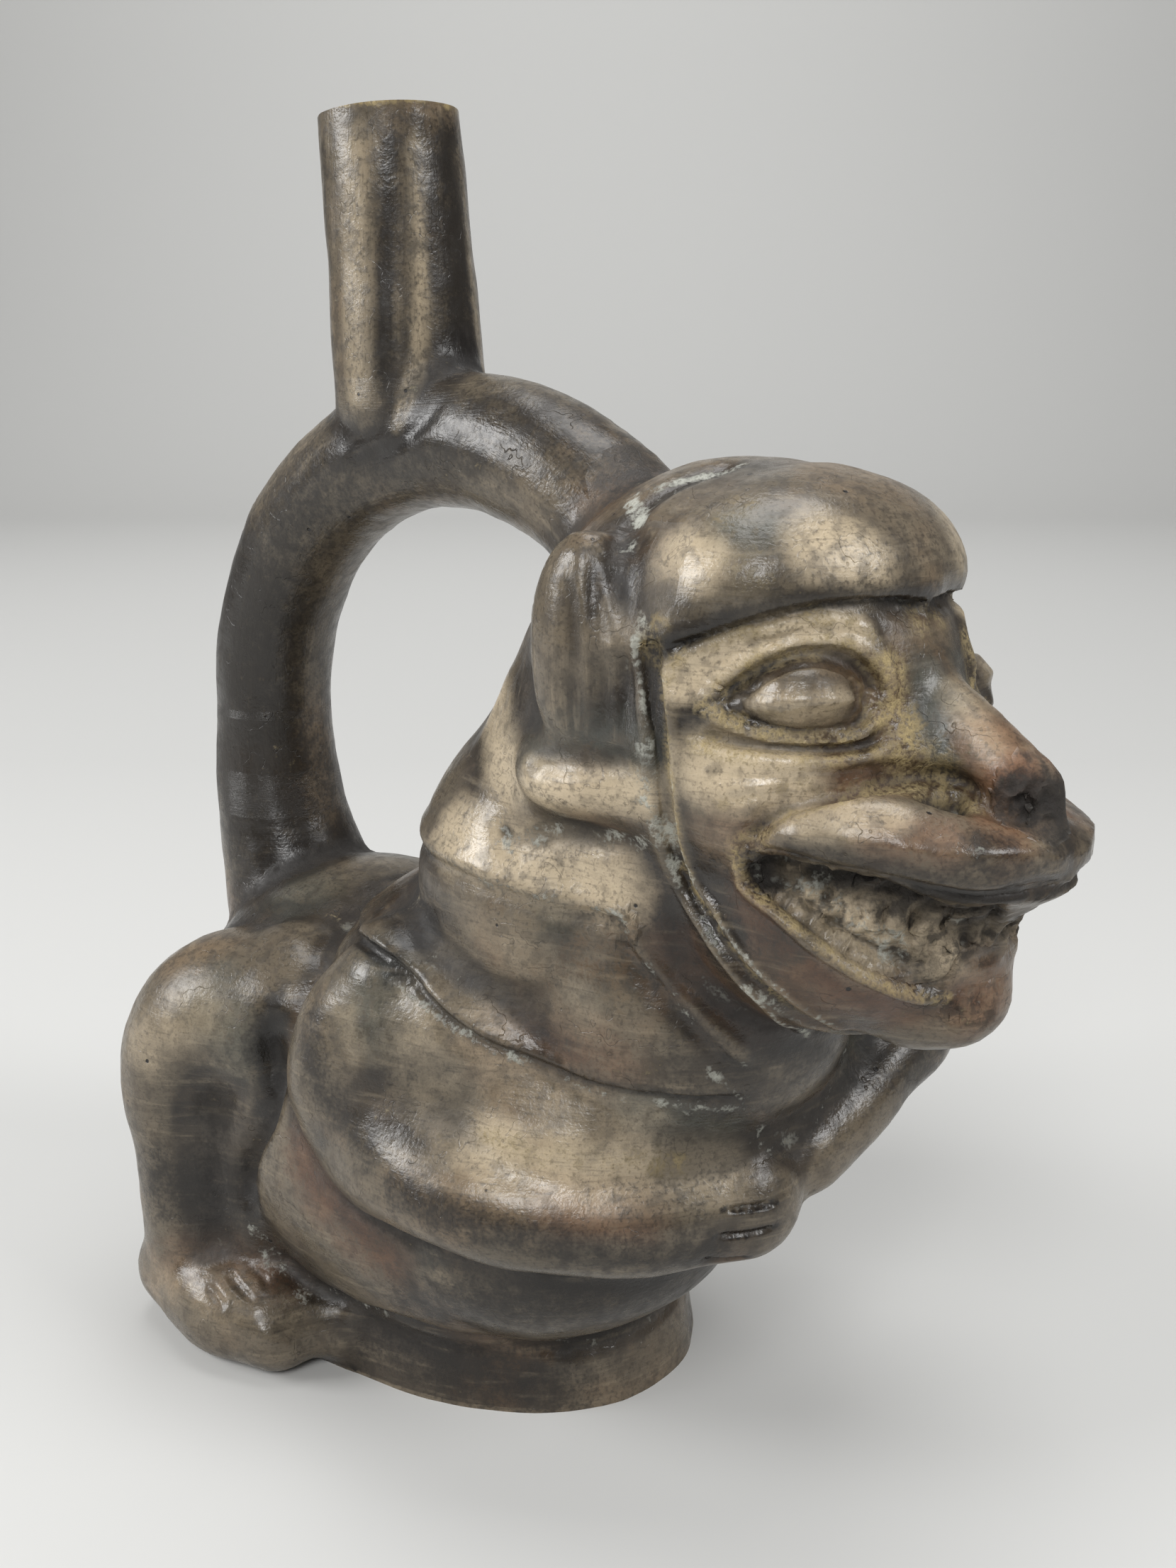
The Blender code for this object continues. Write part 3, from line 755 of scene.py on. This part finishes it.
# Hand-made unevenness of the whole skin
def unevenSkin(piece):
    moves = [noise.noise(Vector(spot) * wear["waveScale"]) * wear["wave"]
             + noise.noise(Vector(spot) * wear["rippleScale"]) * wear["ripple"] for spot in spotsOf(piece)]
    push(piece, np.array(moves) * mm)


unevenSkin(clay)

# Hollow inside, open at the spout
chamber = {
    "grain": 3.0,
    "rooms": [
        ((0, 16, 43), (35.8, 49.8, 33.8)),    # pot body
        ((0, -12, 50), (31, 31, 30)),      # rump
        ((0, 38, 74), (34, 32, 18)),       # shoulders
        ((0, 52, 60), (33, 30, 27)),       # chest
    ],
    "headRooms": [((0, 76, 132), (25.5, 28.5, 28.5)), ((0, 90, 108), (17, 18, 13))],
    "neck": ([(0, 72, 124), (0, 62, 108), (0, 54, 90)], [26, 26, 28]),
    "rimCutter": 60,    # edge of the block that cuts the spout off at its rim
}


def hollow(piece):
    rooms = [addBall(*room) for room in chamber["rooms"]]
    rooms += [addBall(rolled(centre), radii) for centre, radii in chamber["headRooms"]]
    rooms += addLimb(*chamber["neck"], vessel["wall"]) + addStirrup(stirrup["tubeWall"])
    inside = fuse(rooms, "chamberTool", chamber["grain"], 2)
    rim = spoutRim()
    bpy.ops.mesh.primitive_cube_add(size=chamber["rimCutter"] * mm)
    above = bpy.context.object
    up = Vector((0, stirrup["spoutLean"], 1))
    above.rotation_euler = up.to_track_quat("Z", "Y").to_euler()
    above.location = place(rim) + up.normalized() * (chamber["rimCutter"] / 2) * mm
    bpy.ops.mesh.primitive_cube_add(size=1, location=(0, 0, -0.5))
    ground = bpy.context.object
    for tool in (inside, above, ground):
        takeOnly(tool)
        bpy.ops.object.transform_apply(location=True, rotation=True, scale=True)
        applyModifier(piece, "BOOLEAN", operation="DIFFERENCE", solver="EXACT", object=tool)
        bpy.data.objects.remove(tool)


hollow(clay)
takeOnly(clay)
bpy.ops.object.shade_smooth_by_angle(angle=radians(50))
print("hollowed", len(clay.data.vertices), sum(len(face.vertices) - 2 for face in clay.data.polygons))


# The made piece stays inside the CAD part's box
def fitInside(piece, box):
    spots = spotsOf(piece)
    low, high = spots.min(axis=0), spots.max(axis=0)
    boxLow, boxHigh = np.array(box[0]), np.array(box[1])
    scale = np.minimum((boxHigh - boxLow) / (high - low), 1)
    moveTo(piece, (spots - (low + high) / 2) * scale + (boxLow + boxHigh) / 2)


fitInside(clay, cadBounds)


# Colour in the clay, with painted highlights and painted shade, as strengths stored on the skin. Along the
# carved lines: line, half width in millimetres, strength
paintLines = {
    "lime": [
        ("bandLeft", 1.1, 0.75), ("bandRight", 1.1, 0.7), ("knotLower", 2.4, 0.55), ("capeUnder", 1.6, 0.6),
        ("napeHem", 2, 0.5), ("baseGroove", 2.6, 0.4), ("fringeGroove", 2.2, 0.5),
    ],
    "ochreAndWarmHighlight": [
        ("band", 2, 0.8), ("lidGroove", 2.4, 0.75), ("lidLower", 2, 0.8), ("underEyeRim", 2.6, 0.75),
        ("browLine", 2, 0.55), ("lipCrease", 3, 0.7), ("mouthRim", 1.8, 0.75), ("ballLower", 1.6, 0.6),
        ("cheekFold", 1.6, 0.5),
    ],
    # Painted shade in the grooves and cuts and under the edges
    "blackAndPaintedShade": [
        ("fringeEdge", 3, 0.8), ("thighSlit", 4.5, 0.8), ("napeHem", 2.6, 0.4), ("capeEdge", 2.2, 0.7),
        ("spoutFoot", 2.5, 0.3), ("lipCrease", 1.6, 0.5), ("lidGroove", 1.2, 0.4), ("fingerUpper", 0.7, 1),
        ("fingerMiddle", 0.7, 1), ("fingerLower", 0.7, 1),
    ],
}
# Strokes through the photograph's pixels: half width in millimetres, strength, pixels
paintStrokes = {
    "lime": [
        (2.2, 0.9, (893, 700), (905, 740)), (1.8, 0.9, (925, 690), (1050, 655)),
        (2, 0.8, (945, 1200), (1015, 1345)), (3, 0.7, (900, 1060), (940, 1190)),
        (3, 0.6, (700, 1160), (715, 1195)), (1.4, 0.5, (1350, 1203), (1410, 1205)),
        (1.8, 0.7, (870, 1290), (900, 1350)), (6, 0.55, (1130, 1225), (1250, 1330)),
        (3, 0.5, (1350, 1300), (1440, 1320)), (1.5, 0.65, (1000, 1510), (1060, 1560), (1085, 1625)),
        (3.4, 0.55, (355, 1735), (385, 1780), (420, 1815)), (2.6, 0.6, (420, 1820), (540, 1850)),
        (1.5, 0.5, (950, 1560), (1040, 1580)), (1.4, 0.7, (1060, 1395), (1150, 1450), (1200, 1455)),
        (5, 0.35, (520, 1320), (640, 1380)),
    ],
    "ochreAndWarmHighlight": [
        (4, 1, (1260, 940), (1268, 1000), (1285, 1060)), (4, 0.6, (1300, 880)),
        (5, 0.75, (1270, 1060), (1340, 1110)), (2.5, 0.6, (930, 880), (925, 930)),
        # The next stroke, along the top of the forearm, is a painted warm highlight
        (4, 0.45, (690, 1610), (800, 1635), (960, 1645)), (7, 0.4, (1050, 720)), (7, 0.4, (1050, 800)),
        (3, 0.5, (1150, 1130), (1330, 1110)),
    ],
    "rust": [
        (6, 0.75, (1395, 1040), (1430, 1090)), (6, 0.5, (1390, 1100), (1425, 1190)),
        (9, 0.45, (1390, 1400)), (7, 0.4, (1100, 1120), (1230, 1120)), (9, 0.4, (1040, 1170)),
        (6, 0.3, (1050, 1260), (1130, 1360), (1270, 1430)), (9, 0.35, (820, 1130)),
        (8, 0.5, (800, 1700), (900, 1705)), (9, 0.4, (430, 1640), (540, 1780)),
        (9, 0.3, (220, 1790), (390, 1800)), (6, 0.4, (1330, 1185), (1250, 1175)),
        (7, 0.4, (1150, 1380), (1250, 1420)), (7, 0.3, (960, 1330), (1080, 1440)),
        (9, 0.3, (700, 1480), (850, 1500)),
    ],
    "verdigris": [
        (6, 0.6, (1030, 745), (1080, 745)), (5.5, 0.8, (1310, 960), (1345, 1060)), (13, 0.5, (530, 1410)),
        (9, 0.5, (760, 1050), (900, 1070)), (12, 0.4, (850, 1350), (780, 1300)),
        (6, 0.6, (900, 1560), (1020, 1590)), (12, 0.5, (420, 1260)), (10, 0.5, (290, 1400), (340, 1480)),
        (10, 0.35, (600, 1800), (1000, 1870)),
    ],
    # Painted highlights on the spout, fringe, cheek, nape, knot and arms, with paler worn burnish
    "paleWearAndPaintedHighlight": [
        (9, 0.85, (640, 1180), (760, 1220), (860, 1250)), (8, 0.8, (700, 1000), (720, 1100)),
        (4, 0.35, (480, 1400), (500, 1480)), (9, 0.3, (650, 1330), (800, 1400)),
        (5.5, 0.95, (750, 1110), (900, 1120)), (7.5, 1, (1000, 1085), (1110, 1105)),
        (3.5, 0.6, (960, 1060), (955, 1180)), (4.5, 0.65, (1180, 1000), (1080, 995)),
        (4.5, 1, (960, 960), (1100, 890), (1200, 890)), (4, 0.6, (1130, 1165), (1260, 1150)),
        (7, 0.75, (1140, 1250), (1220, 1330)), (6, 0.5, (1240, 1300), (1330, 1350)),
        (4, 0.35, (1390, 1310), (1430, 1320)), (6, 0.8, (960, 775), (990, 795)),
        (8, 0.95, (1165, 765), (1215, 795)), (2.2, 0.85, (588, 200), (592, 480), (560, 600)),
        (4.5, 0.6, (503, 200), (503, 560)), (3, 0.3, (1100, 1130), (1240, 1140)),
        (8.5, 0.75, (690, 1620), (850, 1650), (1000, 1655)),
        (11, 0.45, (590, 1430), (620, 1520), (670, 1590)), (8, 0.45, (660, 1440), (740, 1530), (900, 1590)),
        (8, 0.45, (200, 1470), (280, 1430)), (4, 0.5, (1400, 1050), (1350, 980)), (5, 0.5, (210, 1500)),
        (8, 0.35, (220, 1800), (330, 1830)), (8, 0.3, (1050, 1190)), (5, 0.3, (840, 950), (870, 880)),
    ],
    # Painted shade inside and under the arch, under the lips, arm, chin and base and in the shin's hollow,
    # with the glossy black of the spout and the broken nose tip
    "blackAndPaintedShade": [
        (19, 0.95, (345, 830), (330, 950), (365, 1150)), (2.4, 0.9, (548, 200), (542, 540)),
        (5.5, 0.95, (632, 200), (655, 500)), (14, 0.4, (565, 200), (560, 620)),
        (1.8, 0.5, (455, 210), (475, 620)), (6, 0.3, (1080, 750), (1080, 840)),
        (6, 0.25, (1270, 760), (1240, 840)), (9, 0.5, (420, 730), (350, 850)),
        (12, 0.7, (400, 750), (500, 650), (760, 600), (900, 650)), (5, 0.7, (1400, 1200), (1440, 1240)),
        (3, 0.55, (1120, 1198), (1250, 1228), (1400, 1238)),
        (5, 0.7, (560, 1680), (700, 1740), (1000, 1770)), (6, 0.4, (560, 600), (600, 420)),
        (6, 0.4, (1060, 1530), (1090, 1600)), (8, 0.35, (950, 1520)), (14, 0.6, (1310, 1500)),
        (5, 0.6, (440, 1440), (455, 1540), (520, 1620)), (11, 0.7, (235, 1670), (330, 1690)),
        (4.5, 1, (1440, 1120), (1490, 1130)), (2.6, 0.9, (1150, 1235), (1330, 1262), (1440, 1262)),
        (3, 0.9, (1062, 1215), (1085, 1250)), (11, 0.75, (600, 1840), (750, 1840), (1000, 1790)),
        (8, 0.5, (500, 1700), (700, 1790)), (8, 0.55, (560, 1900), (800, 1960), (1000, 1880)),
        (6, 0.6, (1500, 1180), (1480, 1240)), (2, 0.8, (715, 1172)), (7, 0.35, (850, 760), (880, 700)),
        (4.5, 0.6, (1000, 1400), (1150, 1500), (1260, 1500)), (4, 0.15, (1080, 1300), (1200, 1410)),
        (9, 0.4, (560, 760), (500, 900)),
    ],
}
hiddenPaint = 0.75    # share of the paint on the side that the photograph doesn't show


def strokeStrength(piece, layer):
    skin = skinOf(piece)
    runs = []
    for name, width, amount in paintLines.get(layer, []):
        runs.append((lines[name]["points"], lines[name]["on"], width, amount))
    for width, amount, *pixels in paintStrokes[layer]:
        seen = [spot for spot in [seenOn(skin, pixel) for pixel in pixels] if spot]
        runs.append((seen, "body", width, amount))
    spots = spotsOf(piece)
    strength = np.zeros(len(spots))
    for points, on, width, amount in runs:
        for turn, line in bothSides(points, on):
            if not line:
                continue
            run = runAlong(line if len(line) > 1 else line * 2, skin, 1.0)
            near, offset, toEnd = offsetsFrom(spots, *run, width * mm)
            share = 1 - (offset / (width * mm)) ** 2
            strength[near] = np.maximum(strength[near], amount * share * (1 if turn > 0 else hiddenPaint))
    return strength


# Height of the skin above its own smoothed form in millimetres: below zero in hollows
def standProud(piece, passes):
    ends = np.empty(len(piece.data.edges) * 2, dtype=np.int32)
    piece.data.edges.foreach_get("vertices", ends)
    one, other = ends.reshape(-1, 2).T
    start = spots = spotsOf(piece)
    count = np.bincount(one, minlength=len(spots)) + np.bincount(other, minlength=len(spots))
    for step in range(passes):
        total = [np.bincount(one, spots[other, axis], len(spots))
                 + np.bincount(other, spots[one, axis], len(spots)) for axis in range(3)]
        spots = np.stack(total, axis=1) / count[:, None]
    return np.einsum("ij,ij->i", start - spots, normalsOf(piece)) / mm


# Where the burnishing strokes change their run, in millimetres: the start and how far it takes
burnish = {"stretch": 0.1, "spoutHeight": (170, 6), "archReach": (36, 4), "archHeight": (92, 8),
           "archForward": (62, 8), "archSide": 15,
           "lockHeight": (124, 4), "lockForward": (86, 6), "lockSide": 22}


def shareAbove(values, where):
    return np.clip((values - where[0]) / where[1], 0, 1)


def shareBelow(values, where):
    return np.clip((where[0] - values) / where[1], 0, 1)


# Places stretched along the burnishing strokes: along the pipes, down the locks, around the body
def strokeGrain(piece):
    spots = figureSpots(piece)
    side, ahead, up = spots.T
    forward, height = stirrup["centre"]
    stretch = burnish["stretch"]
    reach, turn = np.hypot(ahead - forward, up - height), np.arctan2(up - height, ahead - forward)
    arch = np.column_stack((side, reach, turn * reach * stretch))
    spout = spots * (1, 1, stretch)
    grain = spots * (stretch, stretch, 1)
    onArch = shareAbove(reach, burnish["archReach"]) * shareAbove(up, burnish["archHeight"])
    onArch = onArch * (abs(side) < burnish["archSide"]) * shareBelow(ahead, burnish["archForward"])
    onLock = shareAbove(up, burnish["lockHeight"]) * shareBelow(ahead, burnish["lockForward"])
    onLock = onLock * (abs(side) > burnish["lockSide"])
    for share, other in ((onLock, spout), (onArch, arch), (shareAbove(up, burnish["spoutHeight"]), spout)):
        grain += (other - grain) * share[:, None]
    return grain * mm


def store(piece, name, values, kind="FLOAT"):
    piece.data.attributes.new(name, kind, "POINT")
    piece.data.attributes[name].data.foreach_set("value" if kind == "FLOAT" else "vector", values.ravel())


for name in paintStrokes:
    store(clay, name, strokeStrength(clay, name))
store(clay, "edge", standProud(clay, 3))
store(clay, "swellOut", standProud(clay, 30))
store(clay, "strokeGrain", strokeGrain(clay), "FLOAT_VECTOR")
rimWear = {"below": 0.9, "over": 1.6, "most": 0.7}
rimHeight = spotsOf(clay)[:, 2] / mm - (spoutRim()[2] - rimWear["below"])
store(clay, "rimWear", np.clip(rimHeight / rimWear["over"], 0, rimWear["most"]))
store(clay, "broken", np.maximum(mouthShare(clay, 1.0), wear["breakTone"] * nearBreaks(clay)))
print("painted")

# Burnished blackware, with painted highlights and painted shade in its colour
clayLooks = {
    "clay": "#463e34", "paleWearAndPaintedHighlight": "#c4b397", "dark": "#24201c", "tan": "#665039",
    "blackAndPaintedShade": "#171412", "rust": "#80583d", "verdigris": "#4c5551", "ochreAndWarmHighlight": "#b6a274", "lime": "#b3b4aa",
    "roughness": 0.23, "dustRoughness": 0.8,
    # in millimetres
    "cloudSize": 34.0, "patchSize": 11.0, "speckSize": 2.2, "gritSize": 0.6, "strokeWidth": 1.4,
    "crumbSize": 2.6, "crackGap": 9.0, "pitGap": 9.0, "pitSize": 0.28, "bumpHeight": 0.3,
}


def fromHex(text):
    parts = [int(text[i:i + 2], 16) / 255 for i in (1, 3, 5)]
    return [part / 12.92 if part <= 0.04045 else ((part + 0.055) / 1.055) ** 2.4 for part in parts] + [1.0]


def addNode(tree, kind, inputs=None, **settings):
    made = tree.nodes.new("ShaderNode" + kind)
    for name, value in settings.items():
        setattr(made, name, value)
    for socket, value in (inputs or {}).items():
        if isinstance(value, bpy.types.NodeSocket):
            tree.links.new(value, made.inputs[socket])
        else:
            made.inputs[socket].default_value = value
    return made.outputs


def burnishedBlackware():
    looks = clayLooks
    material = bpy.data.materials.new("burnishedBlackware")
    material.use_nodes = True
    tree = material.node_tree
    shader = tree.nodes["Principled BSDF"]
    around = addNode(tree, "TexCoord")["Object"]
    strokes = addNode(tree, "Attribute", attribute_name="strokeGrain")["Vector"]

    def stored(name):
        return addNode(tree, "Attribute", attribute_name=name)["Fac"]

    def cloudy(size, detail=4.0, vector=around, offset=0.0, rough=0.55):
        moved = addNode(tree, "VectorMath", {0: vector, 1: (offset, offset, offset)}, operation="ADD")[0]
        inputs = {"Vector": moved, "Scale": 1000 / size, "Detail": detail, "Roughness": rough}
        return addNode(tree, "TexNoise", inputs)[0]

    def between(value, low, high, top=1.0):
        inputs = {0: value, 1: low, 2: high, 3: 0.0, 4: top}
        return addNode(tree, "MapRange", inputs, interpolation_type="SMOOTHSTEP")[0]

    def sums(one, other, operation="ADD"):
        return addNode(tree, "Math", {0: one, 1: other}, operation=operation)[0]

    def times(one, other):
        return sums(one, other, "MULTIPLY")

    def blend(share, one, other):
        tones = [fromHex(tone) if isinstance(tone, str) else tone for tone in (one, other)]
        return addNode(tree, "Mix", {0: share, 6: tones[0], 7: tones[1]}, data_type="RGBA")[2]

    cloud = cloudy(looks["cloudSize"])
    patch = cloudy(looks["patchSize"], 6.0, offset=0.31)
    speck = cloudy(looks["speckSize"], 4.0, offset=0.57)
    grit = cloudy(looks["gritSize"], 2.0, offset=0.83)
    stroke = cloudy(looks["strokeWidth"], 3.0, strokes)
    fineStroke = cloudy(looks["strokeWidth"] * 0.3, 2.0, strokes, 0.2)
    edge, swellOut = stored("edge"), stored("swellOut")

    # Thin wandering cracks where a noise passes its middle
    def hairline(size, width, offset):
        away = sums(cloudy(size, 3.0, offset=offset), 0.5, "SUBTRACT")
        near = addNode(tree, "Math", {0: away}, operation="ABSOLUTE")[0]
        return addNode(tree, "MapRange", {0: near, 1: 0.0, 2: width, 3: 1.0, 4: 0.0})[0]

    ragged = sums(sums(patch, speck), sums(grit, cloudy(looks["patchSize"] * 0.4, 3.0, offset=2.3)))
    ragged = sums(ragged, 2.0, "SUBTRACT")

    def layer(name, low, high, uneven=1.0):
        return between(sums(stored(name), times(ragged, uneven)), low, high)

    tone = blend(between(cloud, 0.36, 0.66), looks["dark"], looks["clay"])
    warm = cloudy(looks["cloudSize"] * 0.7, 5.0, offset=1.7)
    # Random clay and tan patches, paler burnishing strokes, and convex places paler: worn edges with painted
    # highlight
    for where, low, high, most, name in ((patch, 0.45, 0.72, 0.6, "clay"), (warm, 0.5, 0.7, 0.6, "tan"),
                                         (stroke, 0.52, 0.75, 0.14, "paleWearAndPaintedHighlight"),
                                         (swellOut, 0.1, 0.8, 0.16, "paleWearAndPaintedHighlight")):
        tone = blend(between(where, low, high, most), tone, looks[name])
    # Painted layers: verdigris, rust, paler wear with painted highlights, and black with painted shade
    for name, high, uneven, most in (("verdigris", 0.9, 0.5, 0.6), ("rust", 0.9, 0.5, 0.8),
                                     ("paleWearAndPaintedHighlight", 1.0, 0.45, 0.85), ("blackAndPaintedShade", 0.9, 0.55, 0.9)):
        tone = blend(times(layer(name, 0.0, high, uneven), most), tone, looks[name])
    tone = blend(between(speck, 0.46, 0.66, 0.42), tone, looks["dark"])
    tone = blend(between(fineStroke, 0.52, 0.74, 0.3), tone, looks["dark"])
    # Painted shade: the hollows darker
    paintedHollowShade = between(sums(times(swellOut, -1.0), times(ragged, 0.5)), 0.15, 0.9, 0.6)
    tone = blend(paintedHollowShade, tone, looks["blackAndPaintedShade"])
    crumb = cloudy(looks["crumbSize"], 6.0, offset=5.3)
    broken = stored("broken")
    tone = blend(times(between(crumb, 0.52, 0.4, 0.75), broken), tone, looks["dark"])
    ochreAndWarmHighlight = times(layer("ochreAndWarmHighlight", 0.15, 1.25, 0.6), between(sums(speck, grit), 0.72, 1.22))
    tone = blend(times(ochreAndWarmHighlight, 0.95), tone, looks["ochreAndWarmHighlight"])
    grooveLime = between(sums(times(edge, -1.2), times(ragged, 0.8)), 0.5, 0.9, 0.35)
    lime = sums(layer("lime", 0.5, 0.95), grooveLime, "MAXIMUM")
    tone = blend(times(lime, 0.8), tone, looks["lime"])
    rim = between(sums(stored("rimWear"), ragged), 0.4, 1.0)
    tone = blend(times(rim, 0.8), tone, looks["ochreAndWarmHighlight"])
    tone = blend(between(grit, 0.5, 0.7, 0.42), tone, looks["dark"])
    crack = times(hairline(looks["crackGap"], 0.006, offset=3.1), between(patch, 0.48, 0.6))
    tone = blend(times(crack, 0.4), tone, looks["blackAndPaintedShade"])

    cells = addNode(tree, "TexVoronoi", {"Vector": around, "Scale": 1000 / looks["pitGap"]})
    pitShare = looks["pitSize"] / looks["pitGap"]
    pit = between(cells["Distance"], pitShare, 1.6 * pitShare)
    tone = blend(pit, looks["blackAndPaintedShade"], tone)
    tree.links.new(tone, shader.inputs["Base Color"])

    # Rougher where ochre, lime, the painted hollow shade and broken clay lie
    dustAndHollowShade = sums(sums(ochreAndWarmHighlight, sums(lime, paintedHollowShade, "MAXIMUM"), "MAXIMUM"), broken, "MAXIMUM")
    worn = sums(between(stroke, 0.4, 0.8, 0.12), between(speck, 0.4, 0.7, 0.2))
    worn = sums(worn, between(patch, 0.4, 0.7, 0.2))
    rough = addNode(tree, "MapRange", {0: sums(dustAndHollowShade, worn), 1: 0.0, 2: 1.0,
                                       3: looks["roughness"], 4: looks["dustRoughness"]})[0]
    tree.links.new(rough, shader.inputs["Roughness"])
    shader.inputs["IOR"].default_value = 1.5

    relief = times(stroke, 0.3)
    for form, height in ((fineStroke, 0.15), (patch, 1.4), (times(speck, sums(dustAndHollowShade, 0.6)), 0.9), (grit, 0.3),
                         (times(crumb, broken), 6.0), (crack, -0.3), (pit, 0.8)):
        relief = sums(relief, times(form, height))
    bump = addNode(tree, "Bump", {"Height": relief, "Distance": looks["bumpHeight"] * mm, "Strength": 0.6})[0]
    tree.links.new(bump, shader.inputs["Normal"])
    return material


clay.data.materials.clear()
clay.data.materials.append(burnishedBlackware())
print("material made")


# Camera, paper sweep and soft light
addCamera()
studio = {
    "paperSize": 3.2, "bend": 0.7, "bendSteps": 12, "wall": 1.2, "paper": "#c8c8c6", "sky": 0.16,
    # The lamp on the paper behind: distance behind the vessel, height, size in metres, watts
    "wallLamp": (0.9, 1.5, 1.2, 15.0),
    # Turn from the view to the right and rise in degrees, distance and size in metres, watts
    "lamps": [(-12, 40, 1.9, 0.65, 18.0), (62, 36, 1.6, 0.55, 10.0), (-84, 26, 1.6, 0.7, 17.0),
              (170, 80, 1.2, 0.8, 8.0)],
    "aim": 0.11, "wallRise": 0.3,    # height that the lamps face, rise of the wall lamp's back
}


# Floor that bends up into a wall behind the vessel
def addPaper():
    bpy.ops.mesh.primitive_grid_add(x_subdivisions=4, y_subdivisions=4, size=studio["paperSize"])
    paper = bpy.context.object
    paper.name = "paperSweep"
    farEdge = studio["paperSize"] / 2 - studio["bend"] / 20
    pick(paper, "VERT", [corner.co.y > farEdge for corner in paper.data.vertices])
    bend, steps = studio["bend"], studio["bendSteps"]
    for step in range(steps):
        now, after = (turn * pi / (2 * steps) for turn in (step, step + 1))
        move = (0, bend * (sin(after) - sin(now)), bend * (cos(now) - cos(after)))
        bpy.ops.mesh.extrude_region_move(TRANSFORM_OT_translate={"value": move})
    bpy.ops.mesh.extrude_region_move(TRANSFORM_OT_translate={"value": (0, 0, studio["wall"])})
    bpy.ops.object.mode_set(mode="OBJECT")
    bpy.ops.object.shade_smooth()
    paper.rotation_euler.z = radians(view["azimuth"])
    bpy.ops.object.transform_apply(location=True, rotation=True, scale=True)
    material = bpy.data.materials.new("mattePaper")
    material.use_nodes = True
    shader = material.node_tree.nodes["Principled BSDF"]
    shader.inputs["Base Color"].default_value = fromHex(studio["paper"])
    shader.inputs["Roughness"].default_value = 0.9
    paper.data.materials.append(material)


def addLamp(spot, back, size, power):
    bpy.ops.object.light_add(type="AREA", location=spot)
    lamp = bpy.context.object
    lamp.data.size = size
    lamp.data.energy = power
    lamp.rotation_euler = back.to_track_quat("Z", "Y").to_euler()


def addStudio():
    addPaper()
    back = heading(view["azimuth"])
    behind, height, size, power = studio["wallLamp"]
    addLamp(Vector((0, 0, height)) - back * behind, back + Vector((0, 0, studio["wallRise"])), size, power)
    for turn, rise, distance, size, power in studio["lamps"]:
        back = heading(view["azimuth"] + turn, rise)
        addLamp(Vector((0, 0, studio["aim"])) + back * distance, back, size, power)
    world = bpy.data.worlds.new("softSky")
    bpy.context.scene.world = world
    world.use_nodes = True
    background = world.node_tree.nodes["Background"]
    background.inputs["Color"].default_value = (1, 1, 1, 1)
    background.inputs["Strength"].default_value = studio["sky"]
    bpy.context.scene.view_settings.view_transform = "Standard"


addStudio()

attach(clay, "root")
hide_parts("vessel")
